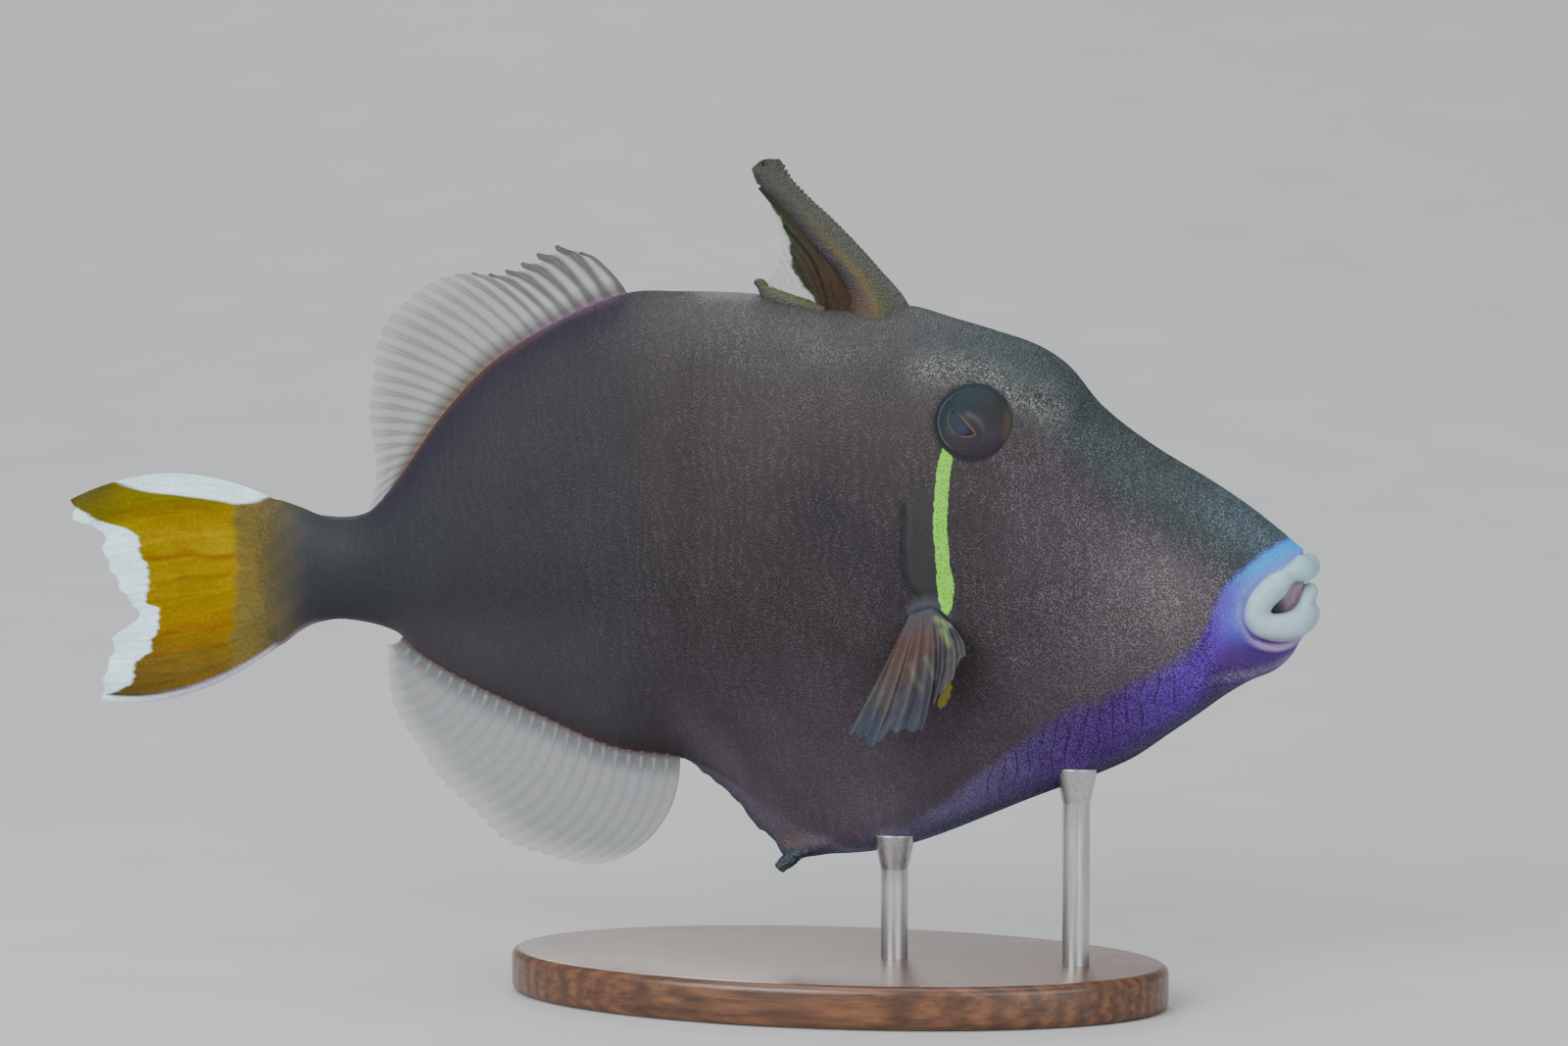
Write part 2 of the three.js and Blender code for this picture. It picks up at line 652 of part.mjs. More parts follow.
function ovalBase() {
  const oval = new THREE.Shape();
  oval.absellipse(0, 0, BASE.length / 2 - BASE.round, BASE.width / 2 - BASE.round, 0, 2 * Math.PI);
  return new THREE.ExtrudeGeometry(oval, {
    depth: BASE.height - 2 * BASE.round,
    bevelThickness: BASE.round,
    bevelSize: BASE.round,
    bevelSegments: 2,
    curveSegments: BASE.facets / 2,
  }).translate(0, 0, BASE.round);
}

// Rod from the base up to a cradle that is hollowed to the keel
function standRod(x, grownBody) {
  const low = BASE.height + GAP;
  const keel = bellyAt(x);
  const high = keel + ROD.cradleAbove;
  const rod = new THREE.CylinderGeometry(ROD.radius, ROD.radius, high - low, ROD.sides);
  rod.rotateX(Math.PI / 2).translate(x, 0, (high + low) / 2);
  const cradleLow = keel - ROD.cradleBelow;
  const cradle = new THREE.CylinderGeometry(ROD.cradleRadius, ROD.radius, high - cradleLow, ROD.sides);
  cradle.rotateX(Math.PI / 2).translate(x, 0, (high + cradleLow) / 2);
  return toSolid(rod).add(toSolid(cradle)).subtract(grownBody);
}

const body = bodySolid();
const grownBody = bodySolid(GAP);
const drawnBody = bodySolid(-GILL_SLIT.depth);

const aroundFront = [[AROUND.front, AROUND.low], [AROUND.front, AROUND.top]];
const headFront = HEAD_LINE.map(([x, z]) => [x + GAP / 2, z]);
const trunkFront = HEAD_LINE.map(([x, z]) => [x - GAP / 2, z]);
const [trunkRearX, stalkFrontX] = [STALK_FRONT_X + GAP / 2, STALK_FRONT_X - GAP / 2];
const headRegion = sidePrism([...headFront, ...aroundFront]);
const trunkRegion = sidePrism([...trunkFront, [trunkRearX, AROUND.low], [trunkRearX, AROUND.top]]);
const stalkRegion = sidePrism([
  [stalkFrontX, AROUND.low], [stalkFrontX, AROUND.top], [AROUND.rear, AROUND.top], [AROUND.rear, AROUND.low],
]);

const mouthRear = SNOUT_X - 2 * MOUTH.length;
const [underZ, overZ] = [MOUTH_CORNER.z + GAP / 2, MOUTH_CORNER.z - GAP / 2];
const underCorner = sidePrism([
  [mouthRear, AROUND.low], [MOUTH_CORNER.x, AROUND.low], [MOUTH_CORNER.x, underZ], [mouthRear, underZ],
]);
const overCorner = sidePrism([
  [mouthRear, overZ], [MOUTH_CORNER.x, overZ], [MOUTH_CORNER.x, AROUND.top], [mouthRear, AROUND.top],
]);
const upperLip = lipRoll(UPPER_LIP).subtract(underCorner);
const lowerLip = lipRoll(LOWER_LIP).subtract(overCorner);

const slit = gillSlit(drawnBody);
let head = body.intersect(headRegion).subtract(mouthHollow()).subtract(slit);
for (const lip of [UPPER_LIP, LOWER_LIP]) head = head.subtract(lipRoll(lip, GAP));
for (const pit of nostrilPits()) head = head.subtract(pit);
for (const side of [-1, 1]) head = head.subtract(toSolid(placed(eyeGeometry(GAP), eyePlace(side))));
const trunk = body.intersect(trunkRegion).subtract(slit);
const stalk = body.intersect(stalkRegion);

const firstSpine = spine(FIRST_SPINE).subtract(grownBody);
const secondSpine = spine(SECOND_SPINE).subtract(grownBody);
const membrane = spineMembrane(SPINE_MEMBRANE).subtract(grownBody)
  .subtract(spine(FIRST_SPINE, GAP)).subtract(spine(SECOND_SPINE, GAP));
const dorsalFin = rayedFin(SECOND_DORSAL).subtract(grownBody);
const analFin = rayedFin(ANAL).subtract(grownBody);
const caudalFin = tailFin(CAUDAL).subtract(grownBody);
const pelvicSpine = spine(PELVIC_SPINE).subtract(grownBody);
const flap = ventralFlap().subtract(grownBody).subtract(spine(PELVIC_SPINE, GAP));
const rightFin = pectoralFin(PECTORAL).subtract(grownBody);
const leftFin = rightFin.mirror([0, 1, 0]);

const fish = new THREE.Group();
fish.add(toMesh('head', toGeometry(head), COLOURS.head));
fish.add(toMesh('upper_lip', toGeometry(upperLip), COLOURS.lip));
fish.add(toMesh('lower_lip', toGeometry(lowerLip), COLOURS.lip));
for (const [name, side] of [['eye_right', -1], ['eye_left', 1]]) {
  const eye = toMesh(name, eyeGeometry(), COLOURS.eye, { roughness: 0.12, metalness: 0 });
  const { position, quaternion } = eyePlace(side);
  eye.position.copy(position);
  eye.quaternion.copy(quaternion);
  fish.add(eye);
}
fish.add(toMesh('trunk', toGeometry(trunk), COLOURS.trunk));
fish.add(toMesh('tail_stalk', toGeometry(stalk), COLOURS.stalk));
fish.add(toMesh('caudal_fin', toGeometry(caudalFin), COLOURS.caudal));
fish.add(toMesh('first_dorsal_spine', toGeometry(firstSpine), COLOURS.spine));
fish.add(toMesh('second_dorsal_spine', toGeometry(secondSpine), COLOURS.spine));
fish.add(toMesh('first_dorsal_membrane', toGeometry(membrane), COLOURS.clearFin));
fish.add(toMesh('second_dorsal_fin', toGeometry(dorsalFin), COLOURS.clearFin));
fish.add(toMesh('anal_fin', toGeometry(analFin), COLOURS.clearFin));
fish.add(toMesh('pelvic_spine', toGeometry(pelvicSpine), COLOURS.pelvic));
fish.add(toMesh('ventral_flap', toGeometry(flap), COLOURS.trunk));
fish.add(toMesh('pectoral_fin_right', toGeometry(rightFin), COLOURS.pectoral));
fish.add(toMesh('pectoral_fin_left', toGeometry(leftFin), COLOURS.pectoral));

const stand = new THREE.Group();
stand.add(toMesh('stand_base', ovalBase(), COLOURS.base, { roughness: 0.4, metalness: 0 }));
for (const [place, x] of Object.entries(ROD_X)) {
  const rod = toGeometry(standRod(x, grownBody));
  stand.add(toMesh(`stand_rod_${place}`, rod, COLOURS.rod, { roughness: 0.3, metalness: 1 }));
}

const model = new THREE.Group();
model.add(fish, stand);

export default model;
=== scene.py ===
import math

import bpy
import numpy as np
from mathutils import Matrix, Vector


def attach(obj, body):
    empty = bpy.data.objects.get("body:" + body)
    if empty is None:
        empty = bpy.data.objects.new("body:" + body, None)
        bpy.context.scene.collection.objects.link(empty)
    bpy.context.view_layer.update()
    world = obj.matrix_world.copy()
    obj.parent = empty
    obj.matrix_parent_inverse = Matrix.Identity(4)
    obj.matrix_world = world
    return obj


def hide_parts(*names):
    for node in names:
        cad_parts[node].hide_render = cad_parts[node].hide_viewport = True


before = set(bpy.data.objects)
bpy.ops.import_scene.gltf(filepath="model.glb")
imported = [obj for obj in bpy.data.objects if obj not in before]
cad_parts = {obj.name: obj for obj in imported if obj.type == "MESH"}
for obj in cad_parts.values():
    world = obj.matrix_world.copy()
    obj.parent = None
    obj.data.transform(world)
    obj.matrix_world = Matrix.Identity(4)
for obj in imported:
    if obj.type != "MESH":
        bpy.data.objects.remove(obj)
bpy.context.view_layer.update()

MM = 0.001

# The photograph's view: where the camera stands, what it looks at and its lens
AZIMUTH, ELEVATION = math.radians(14), math.radians(4)
TARGET = (-10, 0, 88)
LENS, SENSOR, DISTANCE = 105, 36, 844.67

# Side view of the body, each row an x and the height there
BACK_LINE = [
    (86, 85), (81.4, 88.8), (76.4, 92.6), (70, 96.8), (58.5, 103.6), (49.5, 110.4), (43.5, 117.4),
    (37.7, 121.2), (30, 123.8), (22, 126.1), (15.5, 128), (13, 128.2), (9.8, 127.4), (1.3, 127.3),
    (-4.8, 127.7), (-10, 128.3), (-13, 129.4), (-15.5, 130.3), (-30, 130.7), (-40, 130.3), (-52.3, 125.6),
    (-66.7, 117), (-76.4, 107.1), (-86.2, 93.8), (-91.5, 88.6), (-100.2, 87.8), (-105.2, 89.4),
    (-109.4, 90.6), (-112, 90.5), (-116, 88.5),
]
BELLY_LINE = [
    (86, 69.2), (84.4, 66), (81.4, 63.1), (76.8, 61), (72.2, 58.2), (67.6, 54.8), (62.9, 51.5), (54.3, 45.7),
    (36.2, 38.2), (17.9, 30.5), (8.6, 27.9), (2, 28), (-5, 30.8), (-14, 36), (-22, 41), (-29, 43.6),
    (-43.1, 45.4), (-57.4, 51), (-71.9, 57.1), (-81.5, 62.4), (-86, 66.2), (-96, 68.2), (-102, 67.3),
    (-105.4, 65.6), (-109.4, 62.8), (-112, 63.1), (-116, 65.5),
]
FLAP_EDGE = [
    (8.6, 27.9), (5.5, 27.4), (1.7, 27), (-1, 26.8), (-4.6, 26.2), (-8, 25.8), (-10.4, 26.4),
    (-11.6, 28.4), (-13.2, 29.7), (-14.9, 31.2), (-17.7, 34.7), (-20.4, 37.3), (-23.5, 39.8),
    (-26.7, 42.4), (-29, 43.5),
]
# The stretches of both lines that carry the soft dorsal and the anal fin
DORSAL_FOOT = [row for row in BACK_LINE if -91.5 <= row[0] <= -30]
ANAL_FOOT = [row for row in BELLY_LINE if -86 <= row[0] <= -29]
WIDEST_LINE = [
    (86, 77.5), (76, 76), (60, 79), (40, 83), (10, 83), (-20, 82), (-60, 83), (-90, 79), (-111, 78),
    (-116, 77.5),
]
HALF_WIDTH = [
    (86, 2.6), (84, 4.2), (80, 6.2), (76, 7.6), (70, 9.2), (60, 11.3), (50, 13.3), (40, 15.1),
    (30, 16.6), (20, 17.7), (8, 18.3), (-8, 17.9), (-25, 16.2), (-45, 13.2), (-65, 9.8), (-80, 7.2),
    (-90, 5.4), (-100, 4.2), (-107, 3.2), (-111, 1.9), (-113.5, 1.1), (-116, 0.15),
]
BACK_SHARPNESS = [(86, 1.1), (60, 1.15), (20, 1.2), (-40, 1.35), (-85, 1.3), (-111, 1.1), (-116, 1)]
BELLY_SHARPNESS = [
    (86, 1.1), (60, 1.25), (30, 1.55), (0, 1.75), (-30, 1.5), (-85, 1.3), (-111, 1.1), (-116, 1),
]
SNOUT_X = 86
SKIN_END_X = -116
SWING_START_X, SWING_LENGTH, SWING = -45, 105, 5

# Eye: where its middle meets the head, its size and how deep it sits
EYE_X, EYE_Z, EYE_RADIUS, EYE_BULGE, EYE_SUNK = 28.25, 107.6, 7.85, 4.2, 1.9
EYE_SEEN = EYE_RADIUS * math.sqrt(1 - (EYE_SUNK / EYE_BULGE) ** 2)
NOSTRILS = [(39.4, 112.4), (41.4, 111.2)]
EYE_GROOVE = [(37.5, 107.5), (52, 100)]
GILL_LINE = [(16.6, 94), (16.5, 90.6), (16.4, 85), (16.8, 80.3), (17.6, 77.6), (19.4, 75.6)]
BAR_LINE = [(19.6, 93), (19.3, 86), (19.7, 80), (20.6, 77.6)]
STRIPE_LINE = [
    (23.7, 104.4), (23.9, 101.2), (23.4, 98), (23.2, 93), (23.1, 88.6), (23.5, 85), (23.7, 82), (24.2, 78.6),
    (24.1, 76.2), (24.4, 74),
]
LOWER_STRIPE_LINE = [(24.4, 60.8), (23.6, 58.6), (22.5, 56.4)]
# Middle of the pale squiggles above the eye
WORM_LINE = [
    (14, 115.2), (20, 117.2), (25, 117.2), (29, 116.8), (33, 114.4), (37, 111.9), (41, 110.4), (48, 108),
]
FIN_FOLD = [(17.8, 73.4), (19.2, 74.7), (22, 75), (24.2, 74), (25, 72.6)]
VIOLET_LINE = [
    (0, 29), (8, 31), (18.6, 35.6), (29.5, 43.9), (43.8, 54.1), (49.7, 56.8), (54.4, 59.4), (60.9, 62.3),
    (66, 65.2), (69.2, 69.4), (71, 73.6), (73.7, 78.6), (77.4, 82.3), (81.5, 85.2), (86, 88),
]
MOUTH_GAP = [(80.8, 74.4), (84, 75.6), (87, 77.3)]
MOUTH_Z = 77.6

# Middle line of the near half of each lip, from the front to the corner, and its radius
UPPER_LIP = [
    (86.1, 0, 81.3), (86.4, 3, 81.6), (84.4, 4.1, 80.7), (82, 4.9, 78.6), (79.4, 5.4, 76), (78.5, 5.6, 73.6),
    (79.6, 5.6, 71.6),
]
UPPER_LIP_RADIUS = [1.5, 2.5, 1.6, 2.35, 2.5, 2.45, 2.35]
LOWER_LIP = [
    (87, 0, 73.6), (86.7, 2.3, 73), (85.4, 4, 71.7), (83, 4.9, 71.1), (80.3, 5.4, 71.5), (78.5, 5.6, 73.2),
    (78.9, 5.6, 75.4),
]
LOWER_LIP_RADIUS = [2.1, 2.3, 2.6, 2.6, 2.5, 2.45, 2.35]
LIP_RIM = [(87.4, 0, 77.5), (87.3, 1.1, 76.8), (86.7, 2.4, 75), (85.6, 3.6, 73)]
LIP_RIM_RADIUS = [1.5, 1.35, 1.2, 1.2]
LIPS = [(UPPER_LIP, UPPER_LIP_RADIUS), (LOWER_LIP, LOWER_LIP_RADIUS), (LIP_RIM, LIP_RIM_RADIUS)]


def srgb(red, green, blue):
    """A colour as seen on a screen, 0 to 255, as linear red, green and blue."""
    shares = np.array([red, green, blue]) / 255
    return np.where(shares <= 0.04045, shares / 12.92, ((shares + 0.055) / 1.055) ** 2.4)


def graph(rows):
    """A smooth curve through rows of (x, value), read at any x."""
    xs, values = np.array(sorted(rows), float).T
    ends = np.r_[xs[0], xs, xs[-1]], np.r_[values[0], values, values[-1]]
    slopes = (ends[1][2:] - ends[1][:-2]) / (ends[0][2:] - ends[0][:-2])

    def read(x):
        x = np.asarray(x, float)
        i = np.clip(np.searchsorted(xs, x) - 1, 0, len(xs) - 2)
        span = xs[i + 1] - xs[i]
        t = np.clip((x - xs[i]) / span, 0, 1)
        start = (2 * t**3 - 3 * t**2 + 1) * values[i] + (t**3 - 2 * t**2 + t) * span * slopes[i]
        return start + (3 * t**2 - 2 * t**3) * values[i + 1] + (t**3 - t**2) * span * slopes[i + 1]

    return read


def curve(rows, count, crowding=1.0):
    """Points along a smooth curve through rows of coordinates, even in spacing unless crowded to one end."""
    rows = np.array(rows, float)
    marks = np.r_[0, np.cumsum(np.linalg.norm(np.diff(rows, axis=0), axis=1))]
    fine = np.linspace(0, marks[-1], 600)
    path = np.stack([graph(list(zip(marks, axis)))(fine) for axis in rows.T], -1)
    run = np.r_[0, np.cumsum(np.linalg.norm(np.diff(path, axis=0), axis=1))]
    places = np.interp(run[-1] * np.linspace(0, 1, count) ** crowding, run, fine)
    return np.stack([np.interp(places, fine, axis) for axis in path.T], -1)


def ease(value, low, high):
    """0 below low, 1 above high, and smooth between."""
    t = np.clip((value - low) / (high - low), 0, 1)
    return t * t * (3 - 2 * t)


def mound(distance, width):
    """1 on a line and falling smoothly to nothing beyond about twice the width."""
    return np.exp(-((distance / width) ** 2))


def line_distance(x, z, line):
    """Distance from points in the side view to a line of straight pieces, and the share along it."""
    line = np.array(line, float)
    lengths = np.linalg.norm(np.diff(line, axis=0), axis=1)
    nearest = np.full(np.shape(x), np.inf)
    along = np.zeros(np.shape(x))
    start = 0
    for (x0, z0), (x1, z1), length in zip(line[:-1], line[1:], lengths):
        t = np.clip(((x - x0) * (x1 - x0) + (z - z0) * (z1 - z0)) / length**2, 0, 1)
        distance = np.hypot(x - x0 - t * (x1 - x0), z - z0 - t * (z1 - z0))
        along = np.where(distance < nearest, (start + t * length) / lengths.sum(), along)
        nearest = np.minimum(nearest, distance)
        start += length
    return nearest, along


def off_line(x, z, line):
    return line_distance(x, z, line)[0]


def ripple(*coordinates, seed=0):
    """Smooth, irregular waves between about -1 and 1 over one or more coordinates."""
    draw = np.random.default_rng(seed)
    total = 0
    for size in (1, 1.7, 2.9, 4.7):
        phase = sum(c * draw.normal(0, size) for c in coordinates)
        total = total + np.sin(phase + draw.uniform(0, 2 * math.pi)) / size
    return total / 2


back, belly, flap = graph(BACK_LINE), graph(BELLY_LINE), graph(FLAP_EDGE)
widest, half_width = graph(WIDEST_LINE), graph(HALF_WIDTH)
back_sharpness, belly_sharpness = graph(BACK_SHARPNESS), graph(BELLY_SHARPNESS)
violet_top = graph(VIOLET_LINE)


def swing(x):
    """How far the tail end of the body is bent to the fish's left."""
    return SWING * (np.maximum(0, SWING_START_X - x) / SWING_LENGTH) ** 2


def lowest(x):
    """Height of the lower edge, with the flap where it hangs below the belly."""
    on_flap = (x < FLAP_EDGE[0][0]) & (x > FLAP_EDGE[-1][0])
    return np.where(on_flap, np.minimum(belly(x), flap(x)), belly(x))


def turns(count):
    """Angles evenly spaced round a full turn."""
    return 2 * math.pi * np.arange(count) / count


def unit_grid(rows, columns):
    """Two shares from 0 to 1 over a grid, one down the rows and one across the columns."""
    return np.meshgrid(np.linspace(0, 1, rows), np.linspace(0, 1, columns), indexing="ij")


def half_body(x, z):
    """Half the bare body's thickness at a place in the side view."""
    up = z > widest(x)
    reach = np.where(up, back(x) - widest(x), widest(x) - belly(x))
    share = np.clip(np.abs(z - widest(x)) / reach, 0, 1)
    sharpness = np.where(up, back_sharpness(x), belly_sharpness(x))
    return half_width(x) * (1 - share**2) ** (sharpness / 2)


def skin_point(x, z, side):
    return np.array([x, side * float(half_body(x, z)) + float(swing(x)), z])


def skin_normal(x, z, side):
    slope_x = (half_body(x + 1, z) - half_body(x - 1, z)) / 2
    slope_z = (half_body(x, z + 1) - half_body(x, z - 1)) / 2
    normal = np.array([-float(slope_x), side, -float(slope_z)])
    return normal / np.linalg.norm(normal)


def add_layer(mesh, name, values):
    """A value or a colour kept at each point of a mesh."""
    if values.ndim == 2:
        layer = mesh.attributes.new(name, "FLOAT_COLOR", "POINT")
        layer.data.foreach_set("color", np.c_[values, np.ones(len(values))].ravel())
    else:
        layer = mesh.attributes.new(name, "FLOAT", "POINT")
        layer.data.foreach_set("value", values)


def link_object(name, data):
    made = bpy.data.objects.new(name, data)
    bpy.context.collection.objects.link(made)
    return made


def stand_for(piece, nodes, material):
    """Hides the CAD nodes that a piece takes the place of, hangs it under the root body and gives it its
    material.
    """
    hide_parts(*nodes)
    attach(piece, "root")
    piece.data.materials.append(material)


def new_object(name, points, faces, nodes, material, layers=None, uv=None):
    """A smooth mesh from points in millimetres that stands for CAD nodes."""
    mesh = bpy.data.meshes.new(name)
    mesh.from_pydata((points * MM).tolist(), [], faces)
    mesh.validate()
    for key, values in (layers or {}).items():
        add_layer(mesh, key, values)
    if uv is not None:
        corners = np.empty(len(mesh.loops), np.int32)
        mesh.loops.foreach_get("vertex_index", corners)
        mesh.uv_layers.new(name="OFBake").data.foreach_set("uv", uv[corners].ravel())
    mesh.shade_smooth()
    piece = link_object(name, mesh)
    stand_for(piece, nodes, material)
    return piece


def sheet_faces(rows, columns, start=0, wrap=False, flip=False):
    """Quads over a grid of points that are numbered row by row."""
    r, c = np.meshgrid(np.arange(rows - 1), np.arange(columns if wrap else columns - 1), indexing="ij")
    n = (c + 1) % columns
    quads = np.stack([r * columns + c, r * columns + n, (r + 1) * columns + n, (r + 1) * columns + c], -1)
    quads = quads.reshape(-1, 4) + start
    return (quads[:, ::-1] if flip else quads).tolist()


def loft_faces(rows, columns):
    """Faces of a closed body through rings of points, with its ends closed by one face each."""
    faces = sheet_faces(rows, columns, wrap=True)
    faces.append(list(range(columns))[::-1])
    faces.append([(rows - 1) * columns + c for c in range(columns)])
    return faces


def outward(points, faces):
    """The faces, turned over if they face inwards."""
    volume = 0
    for face in faces:
        a = points[face[0]]
        for b, c in zip(face[1:-1], face[2:]):
            volume += np.dot(a, np.cross(points[b], points[c]))
    return faces if volume > 0 else [face[::-1] for face in faces]


ACROSS = np.array([0, 1, 0])


def blade(middle, half, out):
    """Points and faces of a thin closed sheet round a grid of middle points."""
    rows, columns = half.shape
    front, rear = middle + out * half[..., None], middle - out * half[..., None]
    points = np.concatenate([front.reshape(-1, 3), rear.reshape(-1, 3)])
    start = rows * columns
    faces = sheet_faces(rows, columns) + sheet_faces(rows, columns, start, flip=True)
    rim = list(range(columns))
    rim += [r * columns + columns - 1 for r in range(1, rows)]
    rim += [(rows - 1) * columns + c for c in range(columns - 2, -1, -1)]
    rim += [r * columns for r in range(rows - 2, 0, -1)]
    for a, b in zip(rim, rim[1:] + rim[:1]):
        faces.append([b, a, a + start, b + start])
    return points, outward(points, faces)


def blade_uv(rows, columns):
    """The two faces of a blade side by side on the bake map."""
    v, u = np.meshgrid(np.linspace(0.02, 0.98, rows), np.linspace(0.01, 0.49, columns), indexing="ij")
    one = np.stack([u, v], -1).reshape(-1, 2)
    return np.concatenate([one, one + (0.5, 0)])


def tube(path, radius, sides):
    """Rings of points round a path."""
    tangent = np.gradient(path, axis=0)
    tangent /= np.linalg.norm(tangent, axis=1)[:, None]
    frames = [np.array([-tangent[0][2], 0, tangent[0][0]])]
    for t in tangent[1:]:
        side = frames[-1] - t * np.dot(frames[-1], t)
        frames.append(side / np.linalg.norm(side))
    normal = np.array(frames)
    normal /= np.linalg.norm(normal, axis=1)[:, None]
    cross = np.cross(tangent, normal)
    angle = turns(sides)[None, :, None]
    rim = normal[:, None] * np.cos(angle) + cross[:, None] * np.sin(angle)
    return path[:, None] + rim * radius[:, None, None]


class Shades:
    """A material and short calls that add its nodes."""

    def __init__(self, name, **values):
        self.material = bpy.data.materials.new(name)
        self.material.use_nodes = True
        self.tree = self.material.node_tree
        self.shader = self.tree.nodes["Principled BSDF"]
        for key, value in values.items():
            self.set(key.replace("_", " "), value)

    def set(self, socket, value):
        self.plug(self.shader.inputs[socket], value)

    def plug(self, socket, value):
        if isinstance(value, bpy.types.NodeSocket):
            self.tree.links.new(value, socket)
        elif isinstance(value, (tuple, list, np.ndarray)) and len(value) == 3 and socket.type == "RGBA":
            socket.default_value = (*value, 1)
        else:
            socket.default_value = value

    def node(self, kind, *values, **settings):
        node = self.tree.nodes.new(kind)
        for key, value in settings.items():
            setattr(node, key, value)
        for i, value in enumerate(values):
            if value is not None:
                self.plug(node.inputs[i], value)
        return node

    def place(self, scale=(1, 1, 1)):
        """The object's own coordinates in millimetres, stretched by scale."""
        where = self.node("ShaderNodeTexCoord").outputs["Object"]
        factors = tuple(s / MM for s in scale)
        return self.node("ShaderNodeVectorMath", where, factors, operation="MULTIPLY").outputs[0]

    def read(self, attribute, colour=False):
        node = self.node("ShaderNodeAttribute", attribute_name=attribute)
        return node.outputs["Color" if colour else "Fac"]

    def math(self, operation, a, b=None, c=None, clamp=False):
        return self.node("ShaderNodeMath", a, b, c, operation=operation, use_clamp=clamp).outputs[0]

    def times(self, a, b, clamp=False):
        return self.math("MULTIPLY", a, b, clamp=clamp)

    def spread(self, value, low, high, to_low=0.0, to_high=1.0):
        """value from low..high moved to to_low..to_high, and held there."""
        node = self.node("ShaderNodeMapRange", value, low, high, to_low, to_high, clamp=True)
        return node.outputs[0]

    def texture(self, kind, where, inputs, **settings):
        """A texture node that is read at a place, with its inputs given by name."""
        node = self.node(kind, **settings)
        for key, value in {"Vector": where, **inputs}.items():
            self.plug(node.inputs[key], value)
        return node

    def noise(self, where, scale, detail=2.0, rough=0.5):
        inputs = {"Scale": scale, "Detail": detail, "Roughness": rough}
        return self.texture("ShaderNodeTexNoise", where, inputs).outputs["Fac"]

    def cells(self, where, scale, random=1.0, feature="F1"):
        inputs = {"Scale": scale, "Randomness": random}
        return self.texture("ShaderNodeTexVoronoi", where, inputs, feature=feature).outputs["Distance"]

    def ragged(self, where, scale, depth, attribute):
        """A distance read from the mesh, made uneven by noise."""
        off = self.math("SUBTRACT", self.noise(where, scale, 3, 0.6), 0.5)
        return self.math("MULTIPLY_ADD", off, depth, self.read(attribute))

    def mix(self, factor, a, b):
        node = self.node("ShaderNodeMix", data_type="RGBA")
        self.plug(node.inputs[0], factor)
        self.plug(node.inputs[6], a)
        self.plug(node.inputs[7], b)
        return node.outputs[2]

    def tone(self, colour, factor):
        """colour made lighter or darker by a factor."""
        return self.node("ShaderNodeVectorMath", colour, factor, operation="MULTIPLY").outputs[0]

    def bump(self, height, distance, strength=1.0, under=None):
        node = self.node("ShaderNodeBump")
        self.plug(node.inputs["Strength"], strength)
        self.plug(node.inputs["Distance"], distance * MM)
        self.plug(node.inputs["Height"], height)
        if under is not None:
            self.plug(node.inputs["Normal"], under)
        return node.outputs[0]


def blend(colour, other, mask):
    """colour, changed to the other one where the mask is 1."""
    return colour + (other - colour) * mask[..., None]


def paint(tint, *layers):
    """Colours laid over a ground one after another, each with the share of it that shows."""
    for colour, mask in layers:
        tint = blend(tint, colour, mask)
    return tint


# Skin
SKIN_SIDES = 320
SKIN_STEP = {"snout": 0.28, "body": 0.5}
MOUTH_RINGS = 16
CREASE_APART = 2.55
LIP_SAMPLES, LIP_ZONE_X, FAR_FROM_LIPS, POINTS_AT_ONCE = 40, 62, 50.0, 20000


def skin_stations():
    places = [SNOUT_X]
    while places[-1] > SKIN_END_X:
        share = ease(SNOUT_X - places[-1], 4, 30)
        places.append(places[-1] - (SKIN_STEP["snout"] + share * (SKIN_STEP["body"] - SKIN_STEP["snout"])))
    places[-1] = SKIN_END_X
    return np.array(places)


def lip_samples():
    """Points along both lips with their radius, on both sides of the head."""
    samples = []
    for line, radius in LIPS:
        path = curve(line, LIP_SAMPLES)
        reach = np.interp(np.linspace(0, 1, LIP_SAMPLES), np.linspace(0, 1, len(radius)), radius)
        samples.append(np.c_[path, reach])
        samples.append(np.c_[path * (1, -1, 1), reach])
    return np.concatenate(samples)


def lip_distance(points):
    """Distance from each point to the surface of the nearest lip, up to a limit well off the mouth."""
    samples = lip_samples()
    distance = np.full(len(points), FAR_FROM_LIPS)
    near = np.where(points[:, 0] > LIP_ZONE_X)[0]
    for start in range(0, len(near), POINTS_AT_ONCE):
        part = near[start:start + POINTS_AT_ONCE]
        apart = np.linalg.norm(points[part, None] - samples[None, :, :3], axis=2) - samples[None, :, 3]
        distance[part] = apart.min(1)
    return distance


def skin_relief(x, z, side):
    """How far the skin stands out from the plain body, at the eye, gill, folds and base of the fins."""
    out = -0.9 * mound(off_line(x, z, EYE_GROOVE), 2.6)
    r = np.hypot(x - EYE_X, z - EYE_Z)
    out += 0.3 * mound(r - 7.9, 0.9) + 0.25 * mound(r - 9, 4)
    out -= 3 * (1 - ease(r, EYE_SEEN - 1.1, EYE_SEEN - 0.35))
    gill, along = line_distance(x, z, GILL_LINE)
    out -= 0.8 * mound(gill, 0.35) * ease(along, 0, 0.12)
    out += 0.2 * mound(gill - 1.4, 1.3)
    fold = off_line(x, z, FIN_FOLD)
    out += 0.9 * mound(fold, 0.9) - 0.4 * mound(fold - 1.7, 0.5) * (z > 73)
    for nx, nz in NOSTRILS:
        pit = np.hypot(x - nx, z - nz)
        out += 0.35 * mound(pit - 0.95, 0.35) - 1.1 * mound(pit, 0.5)
    out += 0.12 * ripple(x * 0.05, z * 0.05, side * 3, seed=4)
    return out


